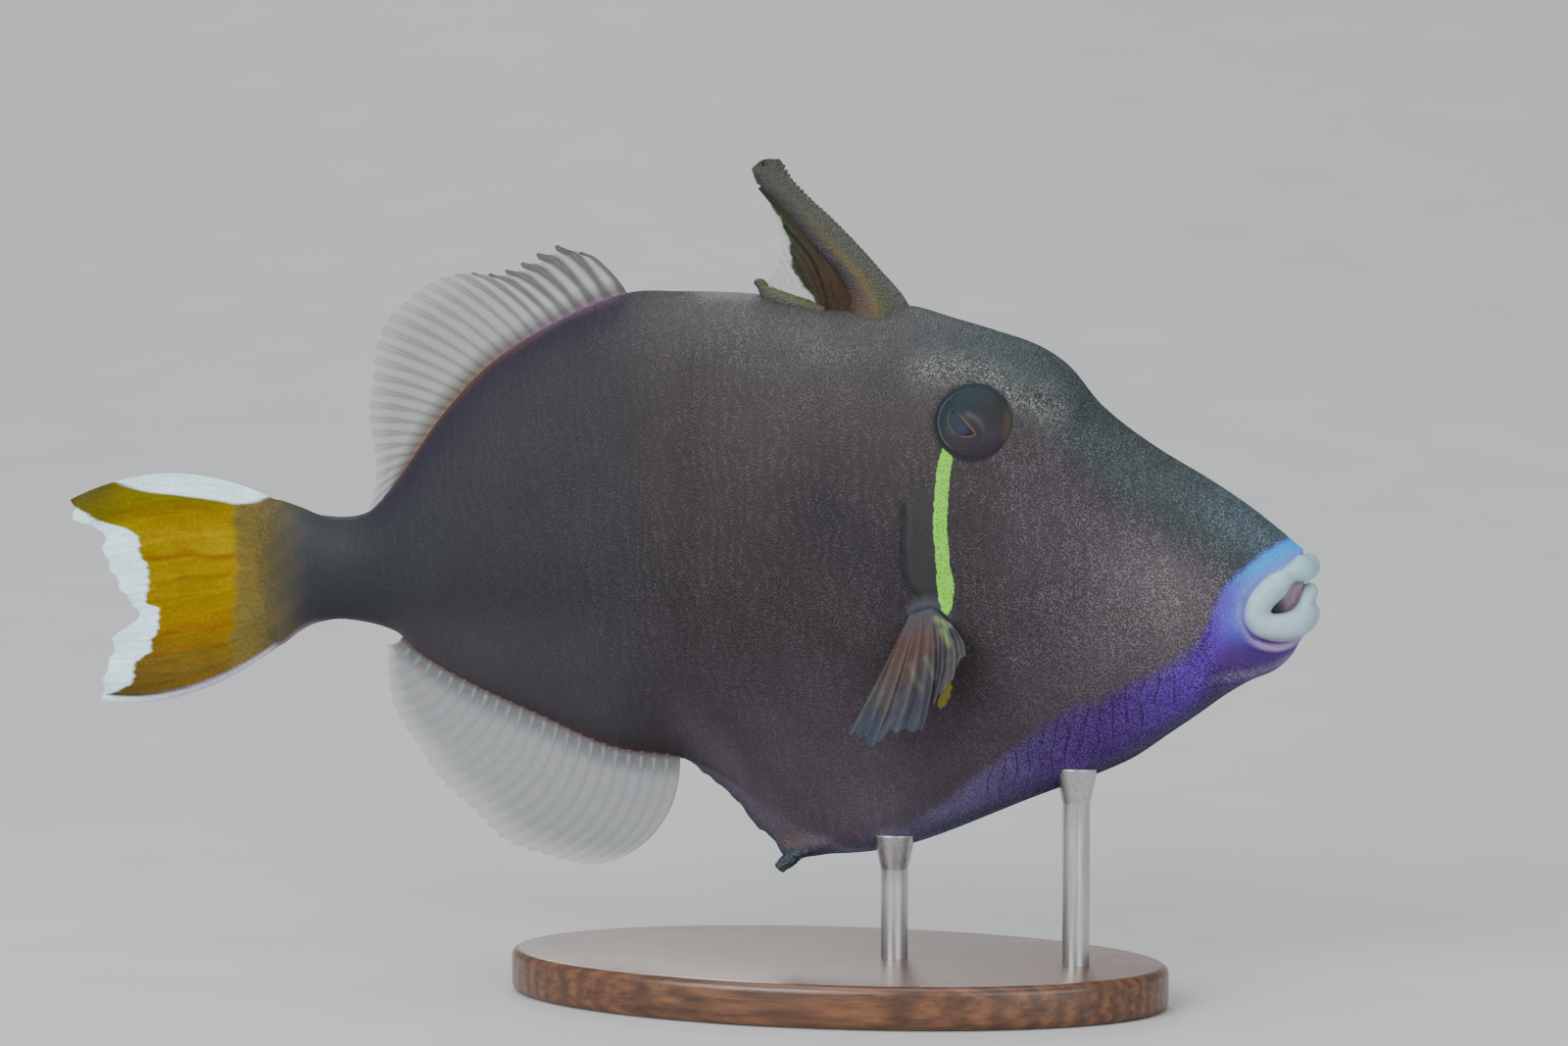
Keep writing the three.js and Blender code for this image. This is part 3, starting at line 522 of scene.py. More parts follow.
def throat_creases(x, z):
    """Short dark creases that run down the throat: their count along the jaw, and where they show."""
    lean = np.interp(x, [20, 47, 63, 74], [0.3, 0.25, 0.0, -0.45])
    place = (x - lean * (z - violet_top(x)) + 0.7 * ripple(x * 0.12, z * 0.26, seed=8)) / CREASE_APART
    below = violet_top(x) - z
    room = np.maximum(violet_top(x) - belly(x), 1)
    zone = ease(below, -1.5, 1.5) * (1 - ease(below / room, 0.5, 0.9))
    zone = zone * ease(x, 22, 34) * (1 - ease(x, 62, 67))
    return place, zone


def skin_shape():
    """Points of the skin as rings from the mouth back to the root of the tail fin."""
    xs = skin_stations()
    angle = turns(SKIN_SIDES) - math.pi / 2
    lift = np.sin(angle)
    share = 0.6 * lift + 0.4 * np.arcsin(np.clip(lift, -1, 1)) / (math.pi / 2)
    side = np.where(np.cos(angle) >= 0, 1.0, -1.0)
    x = np.repeat(xs[:, None], SKIN_SIDES, 1)
    ragged = 0.45 * ripple(xs * 0.6, seed=41) + 0.45 * np.abs(ripple(xs * 1.9, seed=42))
    low = lowest(x) + (ragged * ease(xs, -30, -26) * (1 - ease(xs, -11, -8)))[:, None]
    reach = np.where(share > 0, back(x) - widest(x), widest(x) - low)
    z = widest(x) + reach * share[None]
    half = half_body(x, z)
    depth = np.maximum(z - low, 0)
    knob_root = off_line(x, z, [(-1.5, 28.4), (-8, 26.8)])
    flap_half = 0.45 + 5.2 * ease(depth, -1, 17) + 1.0 * mound(knob_root, 1.8)
    flap_half *= np.sqrt(np.clip(depth / 0.6, 0, 1))
    flap_half *= ease(x, -32, -20) * (1 - ease(x, -4, 10))
    half = (half**2 + flap_half**2) ** 0.5
    gap, along = line_distance(x, z, MOUTH_GAP)
    open_half = 0.3 + 2.2 * along
    pushed = (1 - ease(gap, open_half, open_half + 0.8)) * (x > 78)
    relief = skin_relief(x, z, side) * np.clip(half / 2, 0, 1)
    place, zone = throat_creases(x, z)
    relief -= 0.16 * zone * mound((place - np.round(place)) * CREASE_APART, 0.4)
    floor = 1.2 + 1.6 * (1 - ease(along, 0, 0.5))
    half = np.maximum(half + relief - np.maximum(half - floor, 0) * pushed, 0)
    edge = np.clip(1 - np.abs(share[None]) ** 40, 0, 1)
    rings = np.stack([x, side[None] * half * edge + swing(x), z], -1)
    return rings


def mouth_rings(ring):
    """Rings that lead from the first ring of the skin round the chin and nose into the mouth."""
    middle = np.array([SNOUT_X, 0, MOUTH_Z])
    rings = []
    for share in (np.arange(MOUTH_RINGS) + 1) / MOUTH_RINGS:
        points = middle + (ring - middle) * (1 - share)
        low = ease(77 - points[:, 2], 0, 5)
        bulge = np.interp(share, [0, 0.2, 0.36, 1], [0, 1, 0.3, 0]) * (0.4 + 0.5 * low)
        points[:, 0] += bulge - 7 * ease(share, 0.3, 0.9)
        rings.append(points)
    return np.array(rings[::-1])


BODY_BROWN = srgb(44, 37, 43)
UPPER_BROWN = srgb(56, 50, 50)
BACK_GREY = srgb(80, 81, 82)
HEAD_TEAL = srgb(52, 65, 69)
NOSE_TEAL = srgb(68, 86, 96)
CHEEK = srgb(67, 57, 65)
SNOUT_MAUVE = srgb(100, 92, 98)
REAR_SLATE = srgb(34, 34, 41)
REAR_TEAL = srgb(34, 40, 45)
NAVY = srgb(34, 30, 46)
BELLY_BROWN = srgb(68, 59, 68)
GILL_SHADE = srgb(36, 30, 40)
BAR_GREY = srgb(38, 38, 41)
STALK_END = srgb(66, 60, 42)
STALK_OLIVE = srgb(98, 84, 20)
VIOLET = srgb(70, 34, 116)
VIOLET_BRIGHT = srgb(90, 46, 172)
THROAT = srgb(98, 90, 126)
PERIWINKLE = srgb(80, 88, 196)
PALE_BLUE = srgb(112, 144, 208)
SKY = srgb(40, 138, 208)
LILAC = srgb(168, 142, 184)
CREASE = srgb(72, 46, 92)
CHIN = srgb(120, 112, 150)
CHIN_DARK = srgb(58, 44, 96)
MOUTH_PINK = srgb(168, 142, 164)
MOUTH_SHADE = srgb(74, 64, 84)
STRIPE = srgb(122, 204, 54)
STRIPE_DULL = srgb(130, 128, 40)
KEEL_TEAL = srgb(44, 56, 70)
FOLD_GREY = srgb(54, 58, 68)
FIN_RIM = srgb(84, 56, 50)
FIN_RIM_PURPLE = srgb(84, 60, 84)


def stalk_tint(tint, x, fine):
    """The skin's change to olive where the stalk meets the tail fin."""
    tint = blend(tint, STALK_END, ease(-x + 1.2 * fine, 101, 110))
    return blend(tint, STALK_OLIVE, ease(-x + 1.2 * fine, 107, 116.5))


def skin_colours(points):
    """Colour at each point, and how strong each kind of marking is there."""
    x, y, z = points.T
    wander = ripple(x * 0.11, z * 0.11, y * 0.05, seed=2)
    fine = ripple(x * 0.45, z * 0.45, seed=3)
    top = back(x) - z
    hollow = off_line(x, z, [(15, 82), (9, 86), (2, 92)])
    bar = 1 - ease(off_line(x, z, BAR_LINE), 2.6, 3.0)
    gill = off_line(x, z, GILL_LINE)
    fold = off_line(x, z, FIN_FOLD)
    base = off_line(x, z, DORSAL_FOOT)
    low = off_line(x, z, ANAL_FOOT)
    along_fin = ease(-x, 38, 43) * (1 - ease(-x, 84, 90))
    rim = blend(FIN_RIM_PURPLE, FIN_RIM, ease(-x, 50, 66))
    keel = z - lowest(x)
    near_flap = ease(x, -34, -20) * (1 - ease(x, 8, 24))
    painted_light_rear = ease(-x, 22, 44) * (1 - ease(-x, 78, 94))
    spot = mound(np.hypot(x + 8, (z - 29.6) * 1.3), 2.2)
    tint = paint(
        BODY_BROWN,
        (BELLY_BROWN, ease(64 - z + 4 * wander, -8, 20) * ease(x, -40, 0)),
        (REAR_SLATE, ease(-x + 4 * wander, 22, 60)),
        # Painted light: the lower rear body lifted, where little light reaches from below.
        (srgb(60, 56, 64), 0.6 * ease(76 - z, 0, 14) * painted_light_rear),
        (REAR_TEAL, 0.7 * ease(-x, 62, 92) * mound(z - 84, 14)),
        (UPPER_BROWN, 0.85 * ease(z + 4 * wander, 84, 112) * ease(x, -42, -10)),
        (CHEEK, ease(x + 3 * wander, 24, 44) * ease(top, 6, 20)),
        (SNOUT_MAUVE, 0.85 * mound(np.hypot(x - 66, (z - 77) * 1.2), 17)),
        (BACK_GREY, 0.8 * mound(top, 11 + 2 * wander) * ease(x, -48, -20)),
        (HEAD_TEAL, 0.9 * (1 - ease(top + 2 * wander, 7, 19)) * ease(x, 6, 34)),
        (NOSE_TEAL, 0.8 * (1 - ease(top, 4, 10)) * ease(x, 62, 78)),
        # Painted shade: a dark patch in the hollow behind the gill opening.
        (GILL_SHADE, 0.85 * mound(hollow, 7)),
        (BAR_GREY, bar),
        # Painted shade: a dark line in the gill slit.
        (GILL_SHADE, 0.6 * mound(gill, 0.3)),
        (FOLD_GREY, mound(fold, 0.85)),
        (NAVY, 0.85 * mound(base - 2.6, 3.4) * along_fin),
        (rim, 0.7 * mound(base, 0.9) * along_fin),
        (FIN_RIM, 0.55 * mound(low, 1.2) * ease(-x, 29, 34) * (1 - ease(-x, 82, 88))),
        (srgb(90, 82, 96), 0.6 * (1 - ease(keel, 6, 18)) * near_flap),
        (KEEL_TEAL, 0.8 * mound(keel, 1.8) * (1 - ease(x, 60, 76)) * ease(x, -32, -24)),
        (srgb(84, 70, 52), 0.5 * spot),
    )
    tint = stalk_tint(tint, x, fine)
    tint = blend(tint, srgb(150, 140, 156), 0.7 * mound(keel, 0.6) * ease(-x, 98, 106))

    below = violet_top(x) - z + 0.7 * fine
    violet = ease(below, -2.2, 2.2) * ease(x + 3 * wander, -4, 22)
    rich = blend(THROAT, VIOLET, ease(x, 18, 50))
    rich = blend(rich, VIOLET_BRIGHT, 0.85 * ease(x, 53, 70) * (1 - ease(below, 4, 14)))
    lips = lip_distance(points)
    front = ease(x, 69.5, 73) * ease(below, -1.4, 1.2)
    band = z - np.interp(x, [69, 73, 77.5, 81.6, 85], [61.4, 61.9, 62.4, 63.6, 66])
    ring = front * (1 - ease(z, 72.5, 76.5))
    width = np.interp(x, [75, 77, 79, 82, 86], [0.9, 1.3, 1.8, 2.2, 2.0])
    chin = mound(z - 65.6 + 0.12 * (x - 80), 1.6) * ease(x, 72, 84) * (lips > 2)
    tint = paint(
        tint,
        (rich, violet),
        (KEEL_TEAL, 0.75 * violet * mound(keel, 2.2) * (1 - ease(x, 70, 76))),
        (PERIWINKLE, front * mound(lips, 4.6) * ease(z, 66, 71)),
        (PALE_BLUE, 0.7 * front * mound(lips - 0.6, 1.2) * ease(z, 70, 75)),
        (SKY, front * ease(z + 0.6 * fine, 77.5, 82.5) * ease(lips, 0.6, 1.8)),
        # Painted shade: darker mauve in the groove where the lips meet the skin.
        (srgb(96, 84, 150), 0.5 * front * mound(lips - 0.2, 0.6) * (1 - ease(z, 78, 82))),
        (CHIN_DARK, 0.5 * chin),
        (CHIN, 0.85 * mound(band, 0.95) * ease(x, 68, 76)),
        (LILAC, 0.8 * ring * ease(lips, 0.3, 1.0) * (1 - ease(lips, width - 0.9, width + 0.5))),
        # Painted shade: a dark line in the crease under the lower lip.
        (CREASE, 0.8 * ring * mound(lips - 0.3, 0.35) * ease(x, 76, 78.5)),
    )
    gap, share = line_distance(x, z, MOUTH_GAP)
    inside = (np.abs(y) < 0.6 * half_body(np.minimum(x, 85.9), z)) & (x > 75) & (np.abs(z - MOUTH_Z) < 5.4)
    mouth = np.maximum((1 - ease(gap, 0.8 + 2.2 * share, 1.6 + 2.2 * share)) * (x > 78), inside)
    # Painted shade: the mouth's pink flesh turns dark deeper in.
    tint = blend(tint, blend(MOUTH_SHADE, MOUTH_PINK, ease(x + 0.4 * (z - 76), 81.5, 84)), mouth)

    off_stripe, along = line_distance(x, z, STRIPE_LINE)
    stripe = 0.35 + 0.9 * ease(along, 0, 0.12) + 0.3 * mound(z - 78.4, 1.8)
    stripe = stripe - 0.5 * ease(76 - z, 0, 2) - off_stripe
    dull, along = line_distance(x, z, LOWER_STRIPE_LINE)
    dull = 0.5 + 0.4 * np.sin(math.pi * along) - dull
    place, zone = throat_creases(x, z)

    grain = 0.25 + 0.75 * ease(x + 4 * wander, -75, -5)
    grain = grain * (0.6 + 0.4 * ease(z, 50, 80)) + 0.3 * ease(x, 20, 45)
    grain *= (1 - 0.85 * bar) * (1 - ease(x, 81, 85)) * (1 - ease(-x, 84, 100))
    grain *= 1 - 0.9 * mound(fold, 1.1)
    grain *= 1 - 0.8 * front * ease(z, 62, 66)
    grain = grain * (1 + 0.4 * violet) + 0.7 * ease(-x, 106, 112)
    scales = 0.6 * (1 - 0.8 * ease(z, 100, 116) * ease(x, -20, 5)) * (1 - 0.6 * violet)
    scales = scales * (1 - 0.35 * ease(x, 20, 50)) * (0.7 + 0.3 * wander)
    worm = mound(off_line(x, z, WORM_LINE), 2.4 + 0.5 * wander)
    worm *= ease(np.hypot(x - EYE_X, z - EYE_Z), 6.9, 7.4) * ease(x, 14.5, 18.5) * (1 - ease(x, 40, 47))
    return {
        "Tint": tint, "Grain": grain, "Scales": scales, "Worm": worm, "Stripe": np.clip(stripe, -3, 3),
        "DullStripe": np.clip(dull, -3, 3), "Crease": place, "CreaseZone": zone,
    }


def skin_material():
    m = Shades("triggerfish_skin", Roughness=0.58, Specular_IOR_Level=0.28)
    where = m.place()
    warp = m.texture("ShaderNodeTexNoise", where, {"Scale": 0.5})
    shift = m.tone(warp.outputs["Color"], (0.6, 0.6, 0.6))
    bent = m.node("ShaderNodeVectorMath", where, shift, operation="ADD").outputs[0]
    apart = m.node("ShaderNodeSeparateXYZ", bent)
    x, z = apart.outputs["X"], apart.outputs["Z"]

    grain = m.spread(m.cells(bent, 2.6, 0.9), 0.14, 0.6, 1, 0)
    drift = m.times(m.noise(where, 0.12, 3, 0.6), 9.0)
    column = m.math("MULTIPLY_ADD", z, 0.12, m.math("ADD", x, drift))
    column = m.times(column, 1 / 2.2)
    row = m.math("MULTIPLY_ADD", z, 1 / 0.78, m.times(m.math("FLOOR", column), 0.37))
    in_column = m.spread(m.math("COSINE", m.times(column, 2 * math.pi)), -0.9, 1)
    in_row = m.spread(m.math("COSINE", m.times(row, 2 * math.pi)), -0.6, 0.8)
    dashes = m.times(in_column, m.math("MULTIPLY_ADD", in_row, 0.6, 0.4))
    ordered = m.math("MULTIPLY_ADD", m.math("SUBTRACT", dashes, 0.45), m.read("Scales"), 0.45)
    patchy = m.spread(m.noise(where, 0.16, 3, 0.6), 0.3, 0.7, 0.55, 1.3)
    dots = m.times(grain, m.times(ordered, patchy))

    inputs = {"Scale": 2.2, "Detail": 1.0, "Distortion": 0.6}
    squiggle = m.texture("ShaderNodeTexNoise", m.place((1, 0.5, 1.3)), inputs)
    worms = m.math("ABSOLUTE", m.math("SUBTRACT", squiggle.outputs["Fac"], 0.5))
    worms = m.spread(worms, 0.015, 0.06, 1, 0)
    mottle = m.noise(where, 0.09, 4, 0.6)

    lift = m.times(m.math("SUBTRACT", dots, 0.2), m.read("Grain"))
    factor = m.math("MULTIPLY_ADD", lift, 2.0, m.spread(mottle, 0.3, 0.7, 0.9, 1.08))
    colour = m.tone(m.read("Tint", True), factor)
    pale = m.times(m.times(dots, m.read("Grain")), 0.07, clamp=True)
    colour = m.mix(pale, colour, srgb(200, 190, 180))
    worm = m.times(m.read("Worm"), m.spread(m.noise(where, 0.3, 2, 0.5), 0.25, 0.5, 0.4, 1))
    dark = m.math("MULTIPLY_ADD", worm, -0.35, 1.0)
    colour = m.tone(colour, dark)
    colour = m.mix(m.times(worms, m.times(worm, 0.5)), colour, srgb(196, 198, 188))

    line = m.math("PINGPONG", m.math("ADD", m.read("Crease"), 0.5), 0.5)
    line = m.spread(m.math("SUBTRACT", 0.5, line), 0.02, 0.09, 1, 0)
    breaks = m.spread(m.noise(m.place((0.5, 0.5, 0.25)), 0.9, 3, 0.6), 0.34, 0.5)
    line = m.times(m.times(line, m.read("CreaseZone")), breaks)
    colour = m.mix(m.times(line, 0.7), colour, srgb(22, 16, 40))

    stripe = m.spread(m.ragged(where, 0.9, 0.7, "Stripe"), -0.05, 0.12)
    cracks = m.spread(m.cells(bent, 1.7, 1.0, "DISTANCE_TO_EDGE"), 0.02, 0.12, 1, 0)
    specks = m.spread(m.cells(where, 1.9), 0.2, 0.45, 1, 0)
    marks = m.math("MAXIMUM", m.times(cracks, 0.3), m.times(specks, 0.75))
    band = m.mix(marks, STRIPE, srgb(60, 90, 44))
    colour = m.mix(stripe, colour, band)
    lower = m.ragged(where, 1.1, 1.6, "DullStripe")
    colour = m.mix(m.times(m.spread(lower, -0.1, 0.2), 0.8), colour, STRIPE_DULL)
    m.set("Base Color", colour)
    m.set("Roughness", m.math("SUBTRACT", m.spread(grain, 0, 1, 0.64, 0.5), m.times(worm, 0.08)))
    coarse = m.bump(in_column, 0.05, 0.5)
    height = m.math("ADD", m.times(grain, m.read("Grain")), m.times(worms, worm))
    height = m.math("SUBTRACT", height, m.times(line, 1.5))
    m.set("Normal", m.bump(height, 0.14, 0.7, coarse))
    return m.material


def make_skin():
    rings = skin_shape()
    rings = np.concatenate([mouth_rings(rings[0]), rings])
    points = rings.reshape(-1, 3)
    lips = lip_distance(points)
    low = 1 - ease(points[:, 2], 74, 79)
    low *= ease(np.hypot(points[:, 0] - 76.6, points[:, 2] - 74), 1.5, 3.5)
    swell = (0.5 * mound(lips - 1.6, 0.8) * low - 0.2 * mound(lips - 0.3, 0.5)) * (points[:, 0] > 70)
    around = np.sign(points[:, 1]) * np.minimum(np.abs(points[:, 1]), 1)
    points = points + np.c_[0.35 * swell, around * swell, -0.6 * swell * low]
    rows = len(rings)
    v, u = np.meshgrid(np.linspace(0.01, 0.99, rows), np.linspace(0.01, 0.98, SKIN_SIDES), indexing="ij")
    faces = outward(points, loft_faces(rows, SKIN_SIDES))
    nodes = ["head", "trunk", "tail_stalk", "ventral_flap"]
    uv = np.stack([u, v], -1).reshape(-1, 2)
    new_object("skin", points, faces, nodes, skin_material(), skin_colours(points), uv)


# Lips
LIP_VOXEL, LIP_RINGS, LIP_SIDES = 0.25, 90, 28


def lip_material():
    m = Shades("lip_flesh", Roughness=0.42, Specular_IOR_Level=0.45)
    m.set("Subsurface Weight", 0.25)
    m.set("Subsurface Scale", 0.0012)
    where = m.place()
    cloud = m.noise(where, 0.35, 3, 0.6)
    wrinkle = m.noise(m.place((1.2, 1.2, 1.2)), 1.6, 4, 0.65)
    colour = m.tone(m.read("Tint", True), m.spread(cloud, 0.3, 0.7, 0.93, 1.05))
    m.set("Base Color", m.tone(colour, m.spread(wrinkle, 0.3, 0.7, 0.94, 1.04)))
    m.set("Normal", m.bump(wrinkle, 0.12, 0.5))
    return m.material


def make_lips():
    """Both lips and their rim as tubes from corner to corner, melted into one surface."""
    points, faces = [], []
    for line, radius in LIPS:
        whole = line[::-1] + [(x, -y, z) for x, y, z in line[1:]]
        reach = radius[::-1] + radius[1:]
        along = np.linspace(0, 1, LIP_RINGS)
        size = graph(list(zip(np.linspace(0, 1, len(reach)), reach)))(along)
        rings = tube(curve(whole, LIP_RINGS), size * (1 + 0.035 * ripple(along * 9, seed=12)), LIP_SIDES)
        part = rings.reshape(-1, 3)
        start = len(points)
        faces += [[i + start for i in face] for face in outward(part, loft_faces(LIP_RINGS, LIP_SIDES))]
        points += part.tolist()
    mesh = bpy.data.meshes.new("lips")
    mesh.from_pydata((np.array(points) * MM).tolist(), [], faces)
    lips = link_object("lips", mesh)
    for kind, settings in (
        ("REMESH", {"mode": "VOXEL", "voxel_size": LIP_VOXEL * MM}),
        ("SMOOTH", {"factor": 0.5, "iterations": 5}),
    ):
        modifier = lips.modifiers.new(kind.lower(), kind)
        for key, value in settings.items():
            setattr(modifier, key, value)
    shaped = lips.evaluated_get(bpy.context.evaluated_depsgraph_get())
    lips.data = bpy.data.meshes.new_from_object(shaped)
    lips.modifiers.clear()
    bpy.data.meshes.remove(mesh)
    co = np.empty(len(lips.data.vertices) * 3)
    lips.data.vertices.foreach_get("co", co)
    x, y, z = co.reshape(-1, 3).T / MM
    shadow_waist = np.hypot(x - 84.5, z - 80.6)
    inner = np.where(z > 76, 1 - ease(np.abs(y), 2.2, 3.6), 1 - ease(np.abs(y), 2.6, 3.8)) * (x < 86.6)
    tint = paint(
        srgb(152, 186, 194),
        (srgb(118, 160, 172), 0.7 * ease(z, 80.2, 84) * ease(x, 79, 83)),
        (srgb(156, 180, 190), ease(76 - z, 0, 4)),
        (srgb(136, 120, 154), 0.8 * ease(70.2 - z, -0.4, 1.4)),
        (srgb(122, 138, 180), 0.5 * (1 - ease(x, 76.6, 78.2))),
        # Painted shade: the shadow line at the waist between the near bulb and the rest of the upper lip.
        (srgb(104, 138, 148), 0.45 * mound(shadow_waist, 1.0) * (y < 0) * (z > 79)),
        (srgb(150, 132, 152), 0.7 * inner),
    )
    add_layer(lips.data, "Tint", tint)
    lips.data.shade_smooth()
    stand_for(lips, ["upper_lip", "lower_lip"], lip_material())


# Eyes
EYE_RINGS, EYE_REAR_RINGS, EYE_SIDES = 120, 16, 220


def eye_colours(u, w):
    """Iris, pupil and rim; u is forward and w up from the middle of the eye, in millimetres."""
    r = np.hypot(u, w)
    tint = paint(
        srgb(42, 44, 45),
        (srgb(28, 42, 46), ease(w - 0.6 * u, -1, 5)),
        (srgb(46, 40, 48), ease(-w + 0.5 * u, 0, 6)),
        (srgb(82, 70, 58), 0.7 * ease(u, 4.9, 6.6) * (1 - ease(np.abs(w + 1), 2, 6))),
    )
    about = np.hypot(u + 1.6, (w + 0.4) * 1.05)
    rings = np.sin(about * 9 + 0.6 * ripple(u * 0.4, w * 0.4, seed=6)) * ease(about, 2.8, 3.6)
    tint = tint * (1 + 0.10 * rings * (1 - ease(about, 4, 7)))[:, None]
    tint = tint * (1 + 0.10 * ripple(u * 1.4, w * 1.4, seed=7))[:, None]
    tint = blend(tint, srgb(20, 22, 28), 0.6 * mound(r - 6.6, 0.16) * (0.3 + 0.7 * ease(-u, -4, 3)))
    fold = off_line(u, w, [(-5.6, 3.6), (-4.4, 4.6), (-2.6, 4.9), (-0.8, 4.6)])
    tint = paint(
        tint,
        # Painted light: the outer rim lifted against the shade where the ball sinks into the head.
        (srgb(44, 46, 54), 0.7 * ease(r, 6.72, 6.9)),
        (srgb(22, 26, 32), 0.7 * mound(fold, 0.16)),
        # Painted highlight: a thin lilac arc at the rear of the rim.
        (srgb(100, 96, 116), 0.35 * mound(r - 6.2, 0.14) * ease(-u, 2.5, 5)),
    )

    # Along and below the pupil's straight upper edge
    along, deep = (u + 1.45) * 0.69 - (w + 0.35) * 0.725, -(u + 1.45) * 0.725 - (w + 0.35) * 0.69
    round_edge = np.hypot(along / 3.15, deep / 2.6)
    inside = (1 - ease(round_edge, 0.94, 1.02)) * ease(deep, -0.14, 0.02)
    pupil = paint(
        srgb(14, 36, 42),
        (srgb(36, 32, 62), ease(along, -0.6, 1.7)),
        (srgb(24, 14, 14), ease(along, 1.7, 3.0)),
        (srgb(12, 22, 28), ease(round_edge, 0.72, 0.98)),
        (srgb(36, 34, 22), 0.8 * (1 - ease(deep, 0.0, 0.5))),
    )
    tint = blend(tint, pupil, inside)
    edge = mound(deep + 0.05, 0.07) * (np.abs(along) < 3.0) * ease(along, -3, 1.5)
    edge = np.maximum(edge, 0.7 * mound((round_edge - 1) * 2.8, 0.08) * (deep > 0) * ease(along, 1.2, 2.4))
    tint = blend(tint, srgb(160, 122, 66), 0.6 * edge)
    rear_edge = mound((round_edge - 1.02) * 2.8, 0.12) * (deep > 0) * (along < 0.6)
    tint = blend(tint, srgb(72, 70, 66), 0.35 * rear_edge)
    # Painted highlight: a pale lavender crescent across the iris and pupil, with a thin line along it.
    highlight_streak = off_line(u, w, [(-0.9, 1.0), (0.9, 0), (1.8, -1.2), (2.25, -2.7), (2.0, -4.3)])
    tint = blend(tint, srgb(88, 74, 100), 0.4 * mound(highlight_streak, 0.5) * ease(w, -2.8, 0.2))
    return blend(tint, srgb(76, 76, 84), 0.2 * mound(highlight_streak, 0.14))


def eye_material():
    m = Shades("eye_glass", Roughness=0.6, Specular_IOR_Level=0.12, Coat_Weight=0.07, Coat_Roughness=0.2)
    m.set("Base Color", m.read("Tint", True))
    return m.material


def make_eye(name, side, material):
    """A flattened ball set in the head, with its iris and pupil as colour."""
    seen = np.linspace(0, math.pi / 2, EYE_RINGS - EYE_REAR_RINGS)
    polar = np.r_[seen, np.linspace(math.pi / 2, math.pi, EYE_REAR_RINGS + 1)[1:]]
    turn = turns(EYE_SIDES)
    reach, depth = np.sin(polar), np.cos(polar)
    u = EYE_RADIUS * reach[:, None] * np.cos(turn)
    w = EYE_RADIUS * reach[:, None] * np.sin(turn)
    n = np.repeat(EYE_BULGE * depth[:, None], EYE_SIDES, 1)
    normal = skin_normal(EYE_X, EYE_Z, side)
    forward = np.array([1, 0, 0]) - normal * normal[0]
    forward /= np.linalg.norm(forward)
    upward = np.cross(forward, normal)
    upward = upward * (1 if upward[2] > 0 else -1)
    middle = skin_point(EYE_X, EYE_Z, side) - normal * EYE_SUNK
    points = middle + u[..., None] * forward + w[..., None] * upward + n[..., None] * normal
    points = points.reshape(-1, 3)
    faces = outward(points, loft_faces(EYE_RINGS, EYE_SIDES))
    new_object(name, points, faces, [name], material, {"Tint": eye_colours(u.ravel(), w.ravel())})


# Fins
def ridge_profile(columns, rays, share, forks, width=0.13):
    """How much each point of a fin lies on a ray, 0 to 1; rays fork at the given shares of their length."""
    t = np.linspace(0, 1, columns)[None, :] * (rays - 1)
    offset = t - np.round(t)
    lines = [np.zeros_like(share)]
    for start, spread in forks:
        apart = spread * ease(share, start, 1.0)
        lines = [line + sign * apart for line in lines for sign in (-1, 1)]
    width = width * (1 - 0.35 * share)
    return np.max([mound(offset - line, width) for line in lines], 0), np.round(t)


class Fan:
    """A fin as a sheet of rays between the curve of its root and its free edge."""

    def __init__(
        self, base, edge, rays, rows, per_ray, bow, notch, wave, forks, sunk=3.0, crowding=1.0,
        width=lambda t: 0.13,
    ):
        columns = (rays - 1) * per_ray + 1
        root, tip = curve(base, columns, crowding), curve(edge, columns, crowding)
        self.share, self.t = unit_grid(rows, columns)
        self.ridge, self.index = ridge_profile(columns, rays, self.share, forks, width(self.t))
        ray = tip - root
        self.length = np.linalg.norm(ray, axis=1)[None, :]
        uneven = 1 + 0.012 * np.sin(self.index * 7.3)
        free = mound(self.t * (rays - 1) - self.index, 0.24)
        cut = 1 - notch(self.t) * (1 - free)
        self.reach = self.share * (1 + sunk / self.length) * uneven * cut - sunk / self.length
        bend = bow(self.t) * 4 * np.maximum(self.reach, 0) * (1 - self.reach)
        self.x = root[None, :, 0] + ray[None, :, 0] * self.reach + bend * ray[None, :, 1]
        self.z = root[None, :, 1] + ray[None, :, 1] * self.reach - bend * ray[None, :, 0]
        self.wave = wave(self.t, np.maximum(self.reach, 0))

    def middle(self):
        return np.stack([self.x, swing(self.x) + self.wave, self.z], -1)

    def flat(self):
        """Share along the rays, place across them, ridge and millimetres above the body, point by point."""
        above = np.maximum(self.reach, 0) * self.length
        return self.share.ravel(), self.t.ravel(), self.ridge.ravel(), above.ravel()


DORSAL_BASE = [
    (-40, 130.2), (-46.5, 128.3), (-52.3, 125.6), (-59.5, 121.6), (-66.7, 117), (-76.4, 107.1), (-86.2, 93.4),
]
DORSAL_EDGE = [
    (-47.6, 138.1), (-52.4, 139.3), (-56.5, 137.8), (-60.6, 135.8), (-65.8, 134.2), (-72, 134),
    (-80.2, 131.2), (-86.8, 125.1), (-89.6, 115.5), (-90.8, 108), (-90.2, 101), (-90.4, 94), (-92, 87.2),
]
ANAL_BASE = [(-30, 43.8), (-43.1, 45.4), (-57.4, 51), (-71.9, 57.1), (-81.5, 62.4), (-84.6, 65)]
ANAL_EDGE = [
    (-43.5, 23.6), (-48.5, 22.9), (-55.6, 23.9), (-63.3, 27), (-71, 33.5), (-78.7, 41.1), (-85.5, 49.3),
    (-88, 56.5), (-88, 63.6),
]
